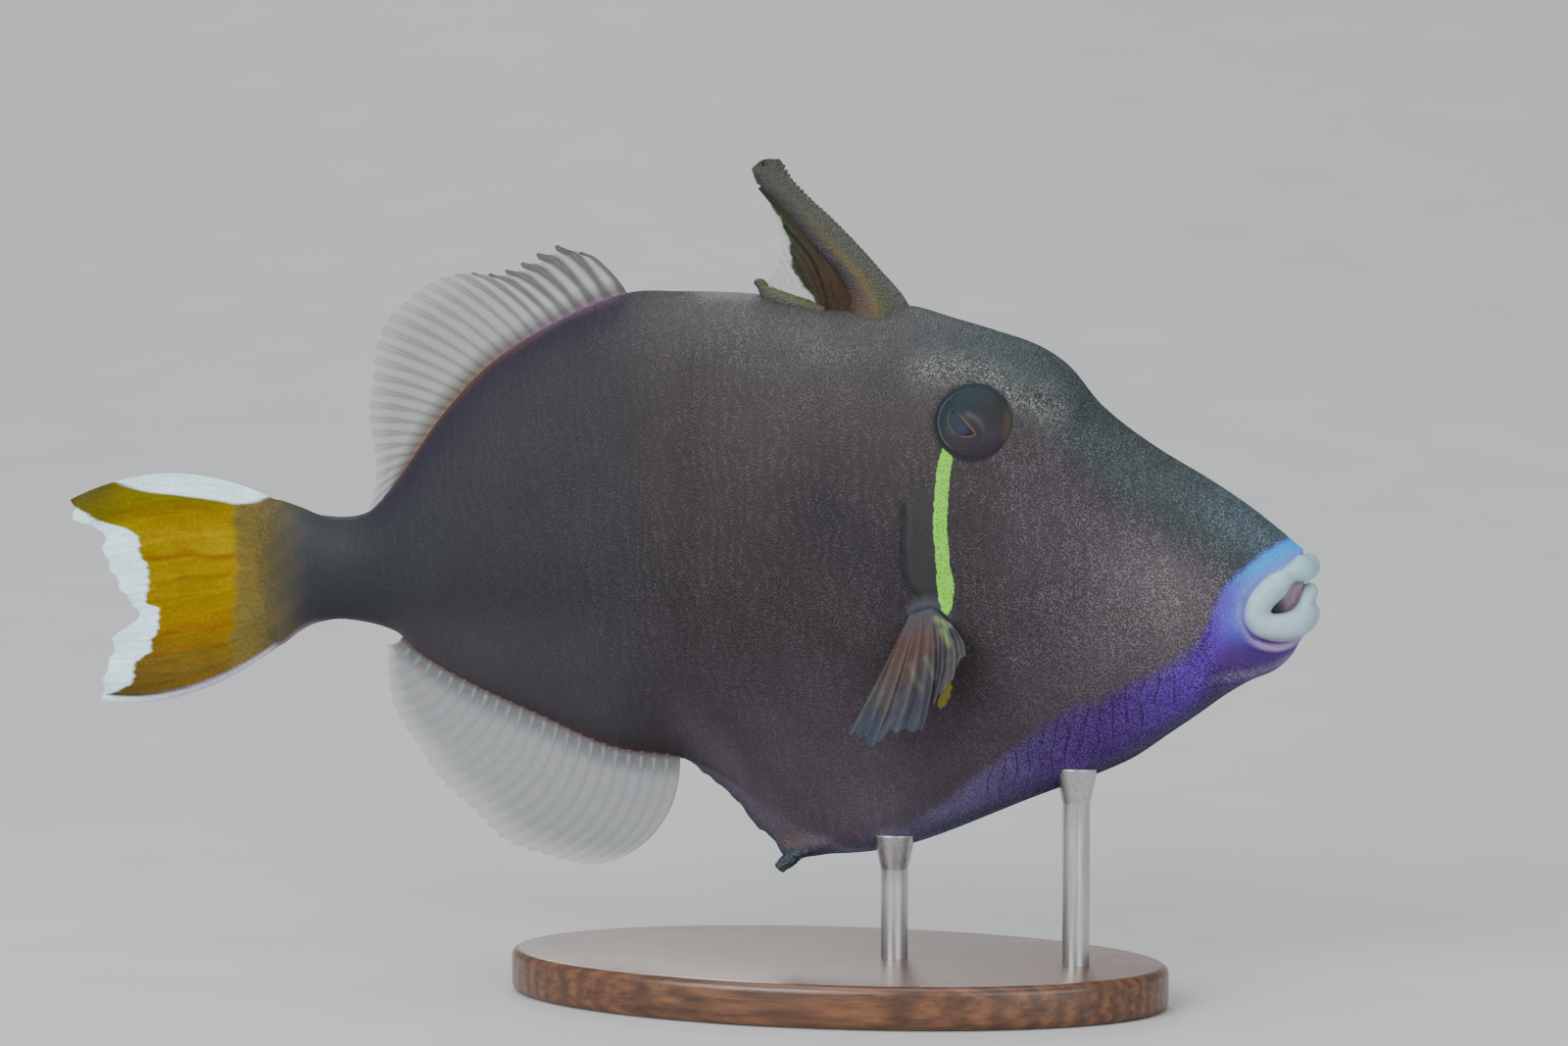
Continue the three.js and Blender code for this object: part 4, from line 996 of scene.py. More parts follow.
CAUDAL_BASE = [(-109.4, 90.2), (-109.4, 84.5), (-109.4, 77), (-109.4, 69.5), (-109.4, 63)]
CAUDAL_EDGE = [
    (-154, 89.7), (-153.2, 86), (-147.6, 83.4), (-146.9, 78), (-143.9, 73), (-139.8, 69), (-139.4, 66.8),
    (-143.4, 63.9), (-144.4, 60.4), (-146.2, 56.2), (-147.8, 50.9),
]
# Where the tail's white starts: an x for each height at the rear, and a height for each x at the top
TRAILING_WHITE = [
    (50, -149), (52, -146.5), (52.8, -143.9), (55.4, -139.9), (58.6, -139.4), (61.1, -136.6), (64.3, -135.1),
    (69.4, -134.8), (70.2, -137.3), (74.6, -136.9), (78.6, -138.5), (81.7, -139.4), (84.2, -141.6),
    (85.2, -146.1), (87.2, -151), (88.4, -153.4), (90, -157),
]
UPPER_WHITE = [
    (-152, 96), (-145, 93.4), (-138, 92), (-131.6, 91.4), (-123.2, 90.2), (-118, 89.6), (-111, 91.3),
    (-107, 93),
]
FIN_STARTS_X = -118.5
# Orange-brown lines along the tail's rays: where each runs, its half width and how strong it is
TAIL_STREAKS = [
    ([(-144.2, 86.9), (-132, 88), (-119.7, 88.4)], 0.6, 0.3),
    ([(-137.5, 79), (-128, 79.6), (-119, 79.8)], 0.6, 0.75),
    ([(-135, 73.9), (-127, 75.2), (-119, 77)], 0.55, 0.6),
    ([(-135.9, 64), (-127, 65.8), (-119.1, 67.1)], 0.6, 0.6),
    ([(-135.1, 60.4), (-121.6, 63.1)], 0.5, 0.5),
    ([(-138, 83.6), (-126, 84.2)], 0.4, 0.3),
]


def clear_fin_material():
    m = Shades("clear_fin_membrane", Roughness=0.5, Specular_IOR_Level=0.25)
    fibres = m.noise(m.place((0.5, 1, 0.5)), 1.4, 4, 0.7)
    m.set("Base Color", m.tone(m.read("Tint", True), m.spread(fibres, 0.3, 0.7, 0.92, 1.06)))
    m.set("Alpha", m.times(m.read("Density"), m.spread(fibres, 0.3, 0.7, 0.88, 1.1), clamp=True))
    m.set("Normal", m.bump(fibres, 0.06, 0.4))
    return m.material


def fin_piece(name, node, middle, half, tint, density, material, out=ACROSS, mirrored=False):
    """A finished fin: a thin sheet with its colour and how clear it is."""
    points, faces = blade(middle, half, out)
    if mirrored:
        points = points * (1, -1, 1)
        faces = outward(points, faces)
    both = {"Tint": np.r_[tint, tint], "Density": np.clip(np.r_[density, density], 0, 1)}
    return new_object(name, points, faces, [node], material, both, blade_uv(*half.shape))


def make_dorsal_fin(material):
    fan = Fan(
        DORSAL_BASE, DORSAL_EDGE, 27, 60, 12, lambda t: 0.05 - 0.02 * ease(t, 0.2, 0.6),
        lambda t: 0.02 + 0.1 * (1 - ease(t, 0.12, 0.3)), lambda t, s: 1.6 * s * np.sin(9 * t - 0.4),
        ((0.2, 0.15), (0.7, 0.05)), crowding=0.85, width=lambda t: 0.16 + 0.08 * (1 - ease(t, 0.16, 0.3)),
    )
    front = 1 - ease(fan.t, 0.18, 0.34)
    curl = ease(fan.share, 0.86, 1) * front
    fan.x -= 1.1 * curl * fan.ridge
    fan.z -= 0.3 * curl * fan.ridge
    clear = ease(fan.reach * fan.length, 0.4, 2)
    half = 0.1 + (0.2 + 0.12 * front) * fan.ridge * (1 - 0.5 * fan.share) * clear
    s, t, r, above = fan.flat()
    front = front.ravel()
    tint = paint(
        srgb(104, 105, 106),
        (srgb(84, 86, 86), 0.6 * r * (1 - 0.5 * ease(t, 0.7, 1))),
        (srgb(74, 72, 72), (0.2 + 0.75 * r) * front * ease(s, 0.1, 0.5)),
        (srgb(92, 108, 92), 0.55 * mound(above - 2.4, 1.3) * ease(t, 0.05, 0.2)),
        (srgb(88, 66, 82), 0.8 * (1 - ease(above, 0.7, 2.1)) * (1 - ease(t, 0.3, 0.6))),
        (srgb(98, 74, 54), 0.8 * (1 - ease(above, 0.6, 1.9)) * ease(t, 0.25, 0.55)),
        (srgb(92, 52, 50), 0.6 * (1 - ease(above, 0.6, 1.9)) * ease(t, 0.7, 0.95)),
    )
    density = 0.22 + 0.26 * r + 0.45 * (1 - ease(above, 0.8, 4)) + front * (0.36 * r - 0.1)
    density = density * (1 - 0.6 * ease(s, 0.7, 1) * (1 - front))
    fin_piece(
        "second_dorsal", "second_dorsal_fin", fan.middle(), half, tint, density, material
    )


def make_anal_fin(material):
    fan = Fan(
        ANAL_BASE, ANAL_EDGE, 25, 56, 10, lambda t: -0.16, lambda t: 0.02,
        lambda t, s: 2 * s * np.sin(8 * t + 0.8), ((0.4, 0.16), (0.7, 0.07)), width=lambda t: 0.17,
    )
    half = 0.1 + 0.2 * fan.ridge * (1 - 0.5 * fan.share)
    s, t, r, above = fan.flat()
    tint = srgb(92, 92, 94)
    tint = blend(tint, srgb(130, 144, 148), 0.85 * r * (1 - 0.5 * s))
    tint = blend(tint, srgb(66, 40, 44), 0.75 * (1 - ease(above, 0.1, 0.8)))
    density = 0.34 + 0.3 * r * (1 - 0.5 * s) + 0.4 * (1 - ease(above, 0.6, 4.5))
    density = density * (1 - 0.6 * ease(s, 0.75, 1))
    fin_piece("anal", "anal_fin", fan.middle(), half, tint, density, material)


def tail_material():
    m = Shades("tail_fin_skin", Roughness=0.6)
    m.set("Specular IOR Level", m.spread(m.read("Root"), 0, 1, 0.05, 0.28))
    fibres = m.noise(m.place((0.2, 1, 1.1)), 1.1, 4, 0.65)
    cloud = m.noise(m.place((0.5, 1, 1)), 0.16, 3, 0.6)
    grain = m.spread(m.cells(m.place(), 1.9), 0.1, 0.6, 1.12, 0.88)
    colour = m.tone(m.read("Tint", True), m.spread(fibres, 0.3, 0.7, 0.9, 1.07))
    colour = m.tone(colour, m.spread(cloud, 0.3, 0.7, 0.86, 1.1))
    m.set("Base Color", m.tone(colour, grain))
    bumps = m.times(m.spread(m.cells(m.place(), 0.9), 0.1, 0.6, 1, 0), m.read("Root"))
    m.set("Normal", m.bump(m.math("MULTIPLY_ADD", bumps, 2.0, fibres), 0.1, 0.5))
    return m.material


def make_tail_fin():
    fan = Fan(
        CAUDAL_BASE, CAUDAL_EDGE, 12, 84, 24, lambda t: 0, lambda t: 0.02, lambda t, s: 0,
        ((0.2, 0.25), (0.5, 0.12), (0.75, 0.055)), sunk=0.0,
    )
    fan.reach = fan.reach * (1 + 0.01 * ripple(fan.t * 30, seed=21))
    bulge = 0.235 + (0.2 - 0.235) * fan.t
    fan.z = fan.z + (0.5 - fan.t) * fan.length * bulge * 4 * fan.share * (1 - fan.share)
    s, t, r, _ = fan.flat()
    fold = np.sin(31 * fan.t + 2.2 * fan.share)
    fan.wave = 1.5 * fan.share * np.sin(5.2 * fan.t + 0.6) + 0.4 * ease(fan.share, 0.3, 1) * fold
    ridge = 0.16 * fan.ridge * (1 - 0.5 * fan.share) * ease(fan.share, 0.1, 0.35)
    corner = ease(np.abs(fan.t - 0.5), 0.2, 0.5)
    half = 0.16 + 1.15 * (1 - ease(fan.share, 0, 0.36)) * (1 - 0.9 * corner) + ridge

    x, z = fan.x.ravel(), fan.z.ravel()
    jag = 0.5 * ripple(z * 1.4, x * 0.2, seed=9) + 0.35 * ripple(z * 3.4, x * 0.4, seed=10)
    tint = paint(
        srgb(138, 116, 0),
        (srgb(128, 98, 0), 0.8 * ease(74 - z, -3, 8)),
        (srgb(98, 96, 14), 0.75 * ease(z - 0.12 * (x + 130), 86, 91)),
        (srgb(84, 70, 32), 0.85 * ease(62 - z, -6, 4)),
        (srgb(158, 134, 0), 0.6 * mound(np.hypot(x + 124, (z - 82) * 1.5), 6)),
        (srgb(76, 70, 22), 0.6 * ease(-x, 139, 149) * ease(z, 84, 88)),
    )
    wave = 0.35 * np.sin(x * 0.5) + 0.3 * jag
    for line, width, strength in TAIL_STREAKS:
        off = off_line(x, z + wave, line)
        tint = blend(tint, srgb(116, 66, 0), 0.85 * strength * mound(off, 1.25 * width))
    tint = blend(tint, srgb(118, 90, 0), 0.3 * (1 - r) * ease(s, 0.2, 0.4))
    root = ease(x + 1.1 * jag + 0.06 * np.abs(z - 77), FIN_STARTS_X - 0.9, FIN_STARTS_X + 1.3)
    tint = paint(
        tint,
        (stalk_tint(REAR_SLATE, x, ripple(x * 0.45, z * 0.45, seed=3)), root),
        (srgb(70, 66, 40), 0.5 * mound(t, 0.025) * ease(-x, 143, 147)),
        (srgb(60, 56, 44), 0.6 * mound(1 - t - 0.03, 0.012) * ease(-x, 112, 118)),
    )
    upper = ease(z + 0.5 * jag - graph(UPPER_WHITE)(x), -0.35, 0.35) * ease(-x, 108, 111) * (x > -146)
    rear = ease(graph(TRAILING_WHITE)(z) - x - jag, -0.35, 0.35)
    lower = ease(t, 0.972, 0.985) * ease(-x, 110, 114)
    # Painted shade: faint darker lines of the pleats across the white border.
    pleat_shade = 1 - 0.16 * mound(np.sin(fan.t.ravel() * 88 + 0.8 * np.sin(s * 9)), 0.3)
    white = srgb(216, 246, 255) * pleat_shade[:, None]
    tint = blend(tint, white, np.clip(upper + rear + lower, 0, 1))
    tint = blend(tint, srgb(170, 160, 178), 0.8 * lower * ease(x, -150, -128))
    inner = ease(t, 0.955, 0.975) * ease(x, -142, -122) * ease(-x, 108, 112)
    tint = blend(tint, srgb(148, 138, 160), 0.7 * inner)
    opaque = np.ones(s.size)
    fin = fin_piece("tail", "caudal_fin", fan.middle(), half, tint, opaque, tail_material())
    add_layer(fin.data, "Root", np.r_[root, root])


PECTORAL_BASE = [(24.6, -17.2, 72.4), (21.6, -17.4, 74.6), (17.8, -17.6, 73.6)]
PECTORAL_EDGE = [
    (28.7, -21.5, 66.8), (27, -23.5, 62.6), (23.9, -25, 58.4), (20.8, -26, 52), (16, -26.2, 52.6),
    (11.6, -26, 50), (7.4, -25, 51.3),
]

# Pale yellow-green marks on the pectoral fin: where each runs, its half width and how strong it is
FIN_BARS = [
    ([(22.7, 72.8), (24.9, 71.6)], 0.6, 0.9), ([(24, 70.7), (25.6, 68.3)], 0.6, 0.9),
    ([(18.9, 64.6), (20.9, 60.6)], 0.5, 0.35), ([(21.5, 66), (23.5, 62.5)], 0.5, 0.3),
]


def make_pectoral_fin(name, mirrored, material):
    """The right pectoral fin, or its mirror image for the left side."""
    rays, rows, per_ray = 13, 54, 10
    columns = (rays - 1) * per_ray + 1
    root, tip = curve(PECTORAL_BASE, columns), curve(PECTORAL_EDGE, columns)
    share, t = unit_grid(rows, columns)
    ridge, index = ridge_profile(columns, rays, share, ((0.4, 0.16), (0.75, 0.07)))
    out = np.array([0.25, -0.9, -0.2])
    out /= np.linalg.norm(out)
    ray = tip - root
    length = np.linalg.norm(ray, axis=1)[None, :]
    free = mound(t * (rays - 1) - index, 0.3)
    reach = share * (1 - 0.035 * (1 - free) + 0.03 * np.sin(index * 5.1) + 0.03 * ripple(t * 16, seed=15))
    pleat = np.sin(t * 39 + 1.5 * share + 1.2 * ripple(t * 2.5, share * 0.8, seed=16))
    lift = np.sin(math.pi * share) * 0.06 * length + 0.04 * share * (2 * ridge - 1)
    lift += 0.55 * ease(share, 0, 0.5) * pleat
    lift += 0.4 * share * ripple(t * 7, share * 2, seed=14)
    bend = 0.1 * np.sin(math.pi * share) * (1 - t)
    middle = root[None] + ray[None] * reach[..., None] + out * lift[..., None]
    middle[..., 0] += bend * length
    half = 0.12 + 0.5 * (1 - ease(share, 0, 0.35)) + 0.06 * ridge * (1 - 0.5 * share)
    s, t, r, pleat = share.ravel(), t.ravel(), ridge.ravel(), pleat.ravel()
    high = 0.5 + 0.5 * pleat
    tint = paint(
        srgb(54, 52, 60),
        # Painted light and shade: the pleats' crests lighter and the troughs between them darker.
        (srgb(66, 66, 72), 0.5 * high * ease(s, 0.3, 0.8)),
        (srgb(36, 33, 56), 0.75 * (1 - high) * ease(s, 0.25, 0.5) * (1 - ease(s, 0.75, 0.95))),
        (srgb(70, 44, 38), 0.75 * mound(s - 0.27, 0.17) * ease(t, 0.25, 0.55)),
        (srgb(76, 58, 46), 0.65 * mound(s - 0.46, 0.18) * ease(t, 0.45, 0.8)),
        (srgb(72, 74, 66), 0.5 * mound(s - 0.66, 0.14) * ease(t, 0.6, 0.9)),
        (srgb(52, 62, 76), 0.75 * ease(s, 0.7, 0.95) * ease(t, 0.3, 0.7)),
        (srgb(84, 84, 80), 0.6 * (1 - ease(t, 0.16, 0.42)) * ease(s, 0.3, 0.6)),
    )
    for bar, width, strength in FIN_BARS:
        off = off_line(middle[..., 0].ravel(), middle[..., 2].ravel(), bar)
        tint = blend(tint, srgb(98, 116, 76), strength * mound(off, width))
    tint = blend(tint, FOLD_GREY, 1 - ease(s, 0.02, 0.08))
    density = 0.97 - 0.22 * ease(s, 0.35, 0.9) * (1 - 0.4 * r)
    fin_piece(name + "_skin", name, middle, half, tint, density, material, out, mirrored)


# Spines
def spine_material(name, worms, fineness):
    m = Shades(name, Roughness=0.55, Specular_IOR_Level=0.4)
    grains = m.spread(m.cells(m.place((0.75, 1, 1.15)), fineness), 0.1, 0.6, 1, 0)
    factor = m.spread(grains, 0, 1, 0.78, 1.22)
    colour = m.tone(m.read("Tint", True), factor)
    pale = m.times(m.times(grains, m.read("Rough")), worms)
    m.set("Base Color", m.mix(pale, colour, srgb(160, 162, 150)))
    m.set("Normal", m.bump(m.times(grains, m.read("Rough")), 0.2, 0.8))
    return m.material


def spine_rings(front, rear, thickness, steps, sides, bumps):
    """Rings of a spine between its front and rear edge; bumps gives its roughness over length and angle."""
    front, rear = curve(front, steps), curve(rear, steps)
    along = np.linspace(0, 1, steps)
    d = graph(list(zip(np.linspace(0, 1, len(thickness)), thickness)))(along) / 2
    middle, reach = (front + rear) / 2, (front - rear) / 2
    size = np.linalg.norm(reach, axis=1)[:, None]
    s, a = np.meshgrid(along, turns(sides), indexing="ij")
    rough = bumps(s, a)
    close = np.sqrt(np.clip((1 - s) / 0.02, 0.02, 1))
    ahead = (reach / size)[:, None] * (np.cos(a) * (size + rough) * close)[..., None]
    x, z = middle[:, None, 0] + ahead[..., 0], middle[:, None, 1] + ahead[..., 1]
    y = swing(middle[:, 0])[:, None] + np.sin(a) * (d[:, None] + 0.5 * rough) * close
    return np.stack([x, y, z], -1), s, a


def spine_piece(name, node, rings, tint, rough, material):
    """A finished spine: a closed body with its colour and how rough it is."""
    points = rings.reshape(-1, 3)
    faces = outward(points, loft_faces(*rings.shape[:2]))
    new_object(
        name, points, faces, [node], material, {"Tint": tint, "Rough": np.full(len(points), rough)}
    )


def make_first_spine():
    front = [
        (15.2, 122), (13.4, 128.6), (7.4, 135.6), (2.9, 140.3), (-1.1, 144.2), (-4.8, 147.4), (-7.7, 150.2),
        (-9.9, 152.4), (-11.4, 153.9), (-12.3, 154.7),
    ]
    rear = [
        (1.5, 122), (2.4, 128.6), (0.6, 133.3), (-2.6, 136.9), (-5.2, 139.8), (-7.4, 142.6), (-9.8, 145.4),
        (-12.1, 147.9), (-14, 149.4), (-14.9, 151.6), (-15.3, 153.7),
    ]
    thickness = [4.8, 4.4, 3.8, 3.4, 3.0, 2.7, 2.3, 2.0, 1.7]

    def bumps(s, a):
        ahead = np.maximum(np.cos(a), 0)
        teeth = (0.2 + 0.2 * ease(s, 0.5, 0.9)) * ahead**3 * np.abs(np.sin(140 * s)) * ease(s, 0.25, 0.5)
        edge = np.maximum(np.abs(np.cos(a)), 0.3) ** 2
        knobs = 0.7 * ease(s, 0.88, 0.97) * edge * np.abs(np.sin(5.5 * a + 2)) ** 0.7
        knobs += 0.35 * ease(s, 0.84, 0.95) * edge * ripple(s * 90, a * 6, seed=31)
        return teeth + knobs + 0.04 * ripple(s * 90, a * 7, seed=32)

    rings, s, a = spine_rings(front, rear, thickness, 260, 96, bumps)
    crown = ease(s, 0.94, 0.98) * (np.abs(np.sin(6 * a + 0.6)) ** 1.5 - 0.3)
    rings += crown[..., None] * (-0.3, 0, 1.0)
    rings[..., 1] *= np.clip(1 - 0.45 * np.cos(a), 0.5, 1.0) * 0.9 + 0.1
    s, across = s.ravel(), np.cos(a).ravel()
    ahead = ease(across, -0.1, 0.5)
    tint = paint(
        srgb(46, 42, 27),
        (srgb(54, 56, 53), ahead),
        (srgb(50, 56, 32), 0.7 * mound(across - 0.35, 0.3)),
        (srgb(80, 68, 18), 0.85 * mound(across + 0.1, 0.25) * (1 - ease(s, 0.3, 0.8))),
        # Painted shade: a dark purple band along the rear edge of the spine.
        (srgb(42, 38, 50), 0.85 * mound(across + 0.62, 0.3)),
        (srgb(72, 43, 31), 0.75 * (1 - ease(s, 0.14, 0.34)) * (1 - ease(across, -0.5, 0.1))),
        (srgb(40, 45, 38), 0.7 * ease(s, 0.6, 0.9)),
    )
    bone = spine_material("spine_bone", 0.18, 2.7)
    spine_piece("first_spine", "first_dorsal_spine", rings, tint, 0.3 + 0.7 * ahead, bone)


def make_second_spine():
    front = [(-2, 127.8), (-5.2, 129.2), (-8.9, 130.4), (-12.6, 131.7), (-14, 133), (-15.5, 133)]
    rear = [(-3, 126), (-7, 126.4), (-11, 127.2), (-14.2, 129.2), (-15, 131.2), (-15.9, 132.2)]
    rings, s, a = spine_rings(
        front, rear, [1.6, 1.8, 1.8, 1.6, 1.2, 0.7], 90, 32,
        lambda s, a: 0.07 * ripple(s * 30, a * 3, seed=33),
    )
    tint = srgb(52, 52, 44)
    tint = blend(tint, srgb(64, 66, 30), ease(np.cos(a).ravel(), 0.1, 0.7))
    tint = blend(tint, srgb(50, 46, 50), ease(s.ravel(), 0.86, 0.96))
    bone = spine_material("second_spine_bone", 0.1, 1.6)
    spine_piece("second_spine", "second_dorsal_spine", rings, tint, 0.4, bone)


def make_pelvic_spine():
    front = [(0.5, 28.3), (-3, 27.5), (-6.6, 25.6), (-9, 23.7), (-10.3, 22.8)]
    rear = [(-1.5, 30.2), (-5, 29.4), (-8.6, 27.4), (-10.8, 25.6), (-12, 24.3)]
    rings, s, _ = spine_rings(
        front, rear, [0.8, 1.8, 2.5, 2.2, 1.8], 70, 32,
        lambda s, a: 0.16 * ripple(s * 20, a * 3, seed=35) * ease(s, 0.1, 0.4),
    )
    tint = blend(srgb(50, 50, 62), srgb(34, 50, 62), ease(s.ravel(), 0.3, 0.7))
    spine_piece("pelvic_knob", "pelvic_spine", rings, tint, 0.8, spine_material("pelvic_bone", 0.1, 1.5))


def make_spine_membrane():
    """Sheet that joins the rear of the tall spine to the low one, clear along its free edge."""
    rows, columns = 90, 110
    front = curve([(-12.6, 151.4), (-5.6, 143), (0, 136.4), (4, 125)], rows)
    rear = curve([
        (-14.9, 149.6), (-13, 147.1), (-11.5, 144), (-10.8, 141.6), (-10.5, 138), (-10.9, 135.4),
        (-12.8, 132.5), (-13.2, 127.6),
    ], rows)
    t, share = unit_grid(rows, columns)
    plane = front[:, None] * (1 - share[..., None]) + rear[:, None] * share[..., None]
    off_spine = share * np.linalg.norm(front - rear, axis=1)[:, None]
    sway = 0.3 * ripple(t * 6, seed=38)
    folds = mound(off_spine - 3.9 - 1.2 * t + sway, 0.2) + 0.6 * mound(off_spine - 6.3 - 2.2 * t - sway, 0.18)
    folds += 0.5 * mound(off_spine - 8.6 - 3 * t + sway, 0.2)
    y = swing(plane[..., 0]) + 0.5 * share * np.sin(7 * t) + 0.25 * folds
    middle = np.stack([plane[..., 0], y, plane[..., 1]], -1)
    half = 0.3 - 0.16 * share
    t, x, z = t.ravel(), plane[..., 0].ravel(), plane[..., 1].ravel()
    fringe = 0.35 * ripple(z * 1.6, seed=36)
    fleshy = fringe + x - graph([
        (126, -3.2), (128.2, -4), (130.7, -5.4), (132.5, -6.8), (134.5, -8.1), (136.8, -8.9), (139.2, -9),
        (141.6, -9.8), (144.8, -11.5), (147.5, -13.6), (150.5, -15.8),
    ])(z)
    tint = srgb(50, 43, 28)
    tint = blend(tint, srgb(38, 50, 34), 0.85 * (1 - ease(fleshy, 0.6, 3)) * ease(z, 131, 135))
    tint = blend(tint, srgb(56, 36, 27), 0.6 * ease(134 - z, -5, 5) * ease(fleshy, 1.5, 3.5))
    tint = tint * (1 + 0.3 * ripple(off_spine.ravel() * 4.5, t * 3, seed=37))[:, None]
    # Painted shade: the membrane darker along its folds.
    tint = tint * (1 - 0.45 * np.clip(folds.ravel(), 0, 1))[:, None]
    clear = 1 - ease(fleshy, -0.3, 0.5)
    threads = mound(np.sin((0.88 * x + 0.48 * z) * 2.6 + 0.5 * ripple(z * 0.5, seed=39)), 0.3)
    tint = blend(tint, blend(srgb(150, 151, 151), srgb(206, 206, 206), threads), clear)
    density = 1 - (0.78 - 0.3 * threads) * clear
    m = Shades("spine_web_skin", Roughness=0.6, Specular_IOR_Level=0.14)
    fibres = m.noise(m.place((0.5, 1, 0.5)), 1.6, 4, 0.7)
    specks = m.spread(m.cells(m.place(), 2.2), 0.1, 0.6, 1.25, 0.8)
    colour = m.tone(m.read("Tint", True), specks)
    m.set("Base Color", m.tone(colour, m.spread(fibres, 0.3, 0.7, 0.75, 1.2)))
    m.set("Alpha", m.read("Density"))
    m.set("Normal", m.bump(fibres, 0.12, 0.5))
    slot, node = "spine_membrane", "first_dorsal_membrane"
    fin_piece("spine_web", node, middle, half, tint, density, m.material)


# Stand
BASE_LENGTH, BASE_WIDTH, BASE_HEIGHT, BASE_ROUND = 124, 68, 8, 1.6
ROD_RADIUS, CRADLE_RADIUS, CRADLE_BELOW, CRADLE_ABOVE = 2.5, 4.0, 4.0, 2.6
ROD_X = {"front": 45, "rear": 11}
BASE_SIDES, ROD_SIDES = 160, 48


def wood_material():
    m = Shades("stand_walnut", Roughness=0.34, Specular_IOR_Level=0.5, Coat_Weight=0.35, Coat_Roughness=0.22)
    grain = m.noise(m.place((0.05, 0.8, 0.8)), 0.9, 6, 0.62)
    fine = m.noise(m.place((0.12, 3.0, 3.0)), 1.2, 4, 0.7)
    inputs = {"Scale": 1.1, "Distortion": 5.0, "Detail": 3.0, "Detail Scale": 1.4}
    place = m.place((0.03, 0.12, 0.12))
    ring = m.texture("ShaderNodeTexWave", place, inputs, wave_type="BANDS", bands_direction="Y")
    colour = m.mix(m.spread(grain, 0.35, 0.65), srgb(70, 42, 26), srgb(120, 78, 48))
    colour = m.mix(m.spread(ring.outputs["Fac"], 0.2, 0.9, 0, 0.55), colour, srgb(56, 32, 20))
    m.set("Base Color", m.tone(colour, m.spread(fine, 0.35, 0.65, 0.82, 1.08)))
    m.set("Roughness", m.spread(fine, 0.3, 0.7, 0.42, 0.3))
    m.set("Normal", m.bump(fine, 0.05, 0.5))
    return m.material


def steel_material():
    m = Shades("stand_steel", Roughness=0.3, Metallic=1.0)
    brushed = m.noise(m.place((3, 3, 0.06)), 1.5, 4, 0.7)
    m.set("Base Color", m.mix(m.spread(brushed, 0.3, 0.7), srgb(168, 170, 172), srgb(206, 207, 208)))
    m.set("Roughness", m.spread(brushed, 0.3, 0.7, 0.24, 0.4))
    m.set("Normal", m.bump(brushed, 0.02, 0.5))
    return m.material


def stand_piece(name, node, rings, material):
    """A closed body of the stand from level rings of (x, y, height)."""
    points = np.concatenate([np.stack([x, y, np.full(len(x), z)], -1) for x, y, z in rings])
    faces = outward(points, loft_faces(len(rings), len(rings[0][0])))
    new_object(name, points, faces, [node], material)


def make_base():
    """Oval base: rings up its lower rounded edge and on over its upper one."""
    turn = turns(BASE_SIDES)
    rim = np.linspace(0, math.pi / 2, 7)
    inset, lift = BASE_ROUND * (1 - np.sin(rim)), BASE_ROUND * (1 - np.cos(rim))
    rings = []
    for shift, z in zip(np.r_[inset, inset[::-1]], np.r_[lift, BASE_HEIGHT - lift[::-1]]):
        x = (BASE_LENGTH / 2 - shift) * np.cos(turn)
        y = (BASE_WIDTH / 2 - shift) * np.sin(turn)
        rings.append((x, y, z))
    stand_piece("base", "stand_base", rings, wood_material())


def make_rod(place, x, material):
    """Rod that flares into a cup under the keel."""
    keel = float(belly(x))
    low, cup, high = BASE_HEIGHT - 1, keel - CRADLE_BELOW, keel + CRADLE_ABOVE
    heights = np.r_[low, np.linspace(BASE_HEIGHT, cup, 6), np.linspace(cup, high, 24)[1:]]
    turn = turns(ROD_SIDES)
    rings = []
    for z in heights:
        share = np.clip((z - cup) / (high - cup), 0, 1)
        radius = ROD_RADIUS + (CRADLE_RADIUS - ROD_RADIUS) * share
        rings.append((x + radius * np.cos(turn), radius * np.sin(turn), z))
    stand_piece(f"rod_{place}", f"stand_rod_{place}", rings, material)


# Camera, floor and light
def make_camera():
    flat = math.cos(ELEVATION)
    back_way = Vector((math.sin(AZIMUTH) * flat, -math.cos(AZIMUTH) * flat, math.sin(ELEVATION)))
    data = bpy.data.cameras.new("camera")
    data.lens, data.sensor_width = LENS, SENSOR
    camera = link_object("camera", data)
    camera.location = (Vector(TARGET) + back_way * DISTANCE) * MM
    camera.rotation_euler = (-back_way).to_track_quat("-Z", "Y").to_euler()
    bpy.context.scene.camera = camera


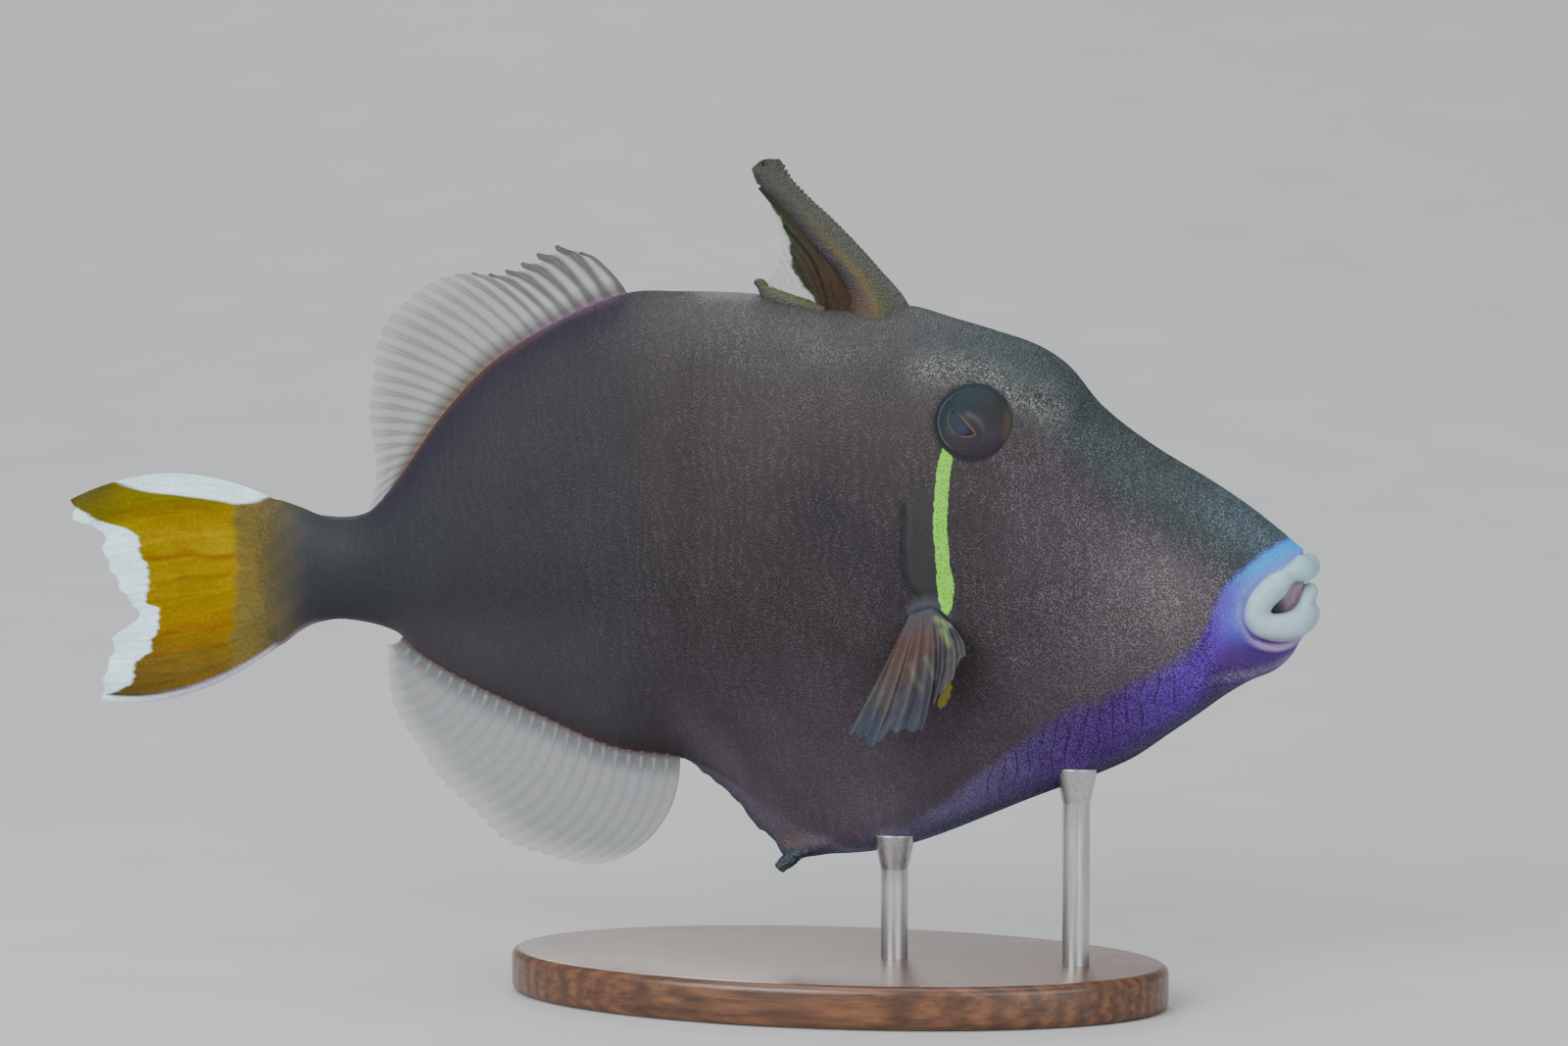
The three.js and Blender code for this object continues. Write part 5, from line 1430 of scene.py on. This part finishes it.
def make_floor():
    """A pale floor that curves up slowly behind the model."""
    turn = np.linspace(0, math.pi / 2, 48)
    y = np.r_[-6, 0.2 + 3.2 * np.sin(turn), 3.4]
    z = np.r_[0, 3.2 * (1 - np.cos(turn)), 6]
    points = [(x, a, b) for a, b in zip(y, z) for x in (-6, 6)]
    mesh = bpy.data.meshes.new("floor")
    mesh.from_pydata(points, [], sheet_faces(len(y), 2))
    mesh.shade_smooth()
    floor = link_object("floor", mesh)
    paper = Shades("pale_paper", Roughness=0.9, Specular_IOR_Level=0.1)
    fibre = paper.noise(paper.place(), 0.02, 3, 0.5)
    light, dark = srgb(194, 194, 194), srgb(188, 189, 190)
    paper.set("Base Color", paper.mix(paper.spread(fibre, 0.3, 0.7), dark, light))
    mesh.materials.append(paper.material)


def make_light(name, place, power, size, aim=(0, 0, 0.08)):
    data = bpy.data.lights.new(name, "AREA")
    data.energy, data.size = power, size
    light = link_object(name, data)
    light.location = place
    light.rotation_euler = (Vector(aim) - Vector(place)).to_track_quat("-Z", "Y").to_euler()


def make_world():
    world = bpy.data.worlds.new("studio")
    world.use_nodes = True
    sky = world.node_tree.nodes["Background"]
    sky.inputs["Color"].default_value = (0.78, 0.8, 0.82, 1)
    sky.inputs["Strength"].default_value = 0.7
    bpy.context.scene.world = world


make_camera()
make_floor()
make_world()
make_light("key", (-0.5, -1.2, 0.7), 20, 0.9)
make_light("fill", (1.1, -1.1, 0.35), 10, 1.0)
make_light("top", (0.0, -0.1, 1.4), 10, 1.2)
make_light("rear", (-0.9, 2.2, 1.6), 20, 0.8)

make_skin()
make_lips()
eye_glass = eye_material()
make_eye("eye_right", -1, eye_glass)
make_eye("eye_left", 1, eye_glass)
clear_fin = clear_fin_material()
make_dorsal_fin(clear_fin)
make_anal_fin(clear_fin)
make_tail_fin()
pectoral = clear_fin_material()
make_pectoral_fin("pectoral_fin_right", False, pectoral)
make_pectoral_fin("pectoral_fin_left", True, pectoral)
make_first_spine()
make_second_spine()
make_pelvic_spine()
make_spine_membrane()
make_base()
steel = steel_material()
for rod_place, rod_x in ROD_X.items():
    make_rod(rod_place, rod_x, steel)
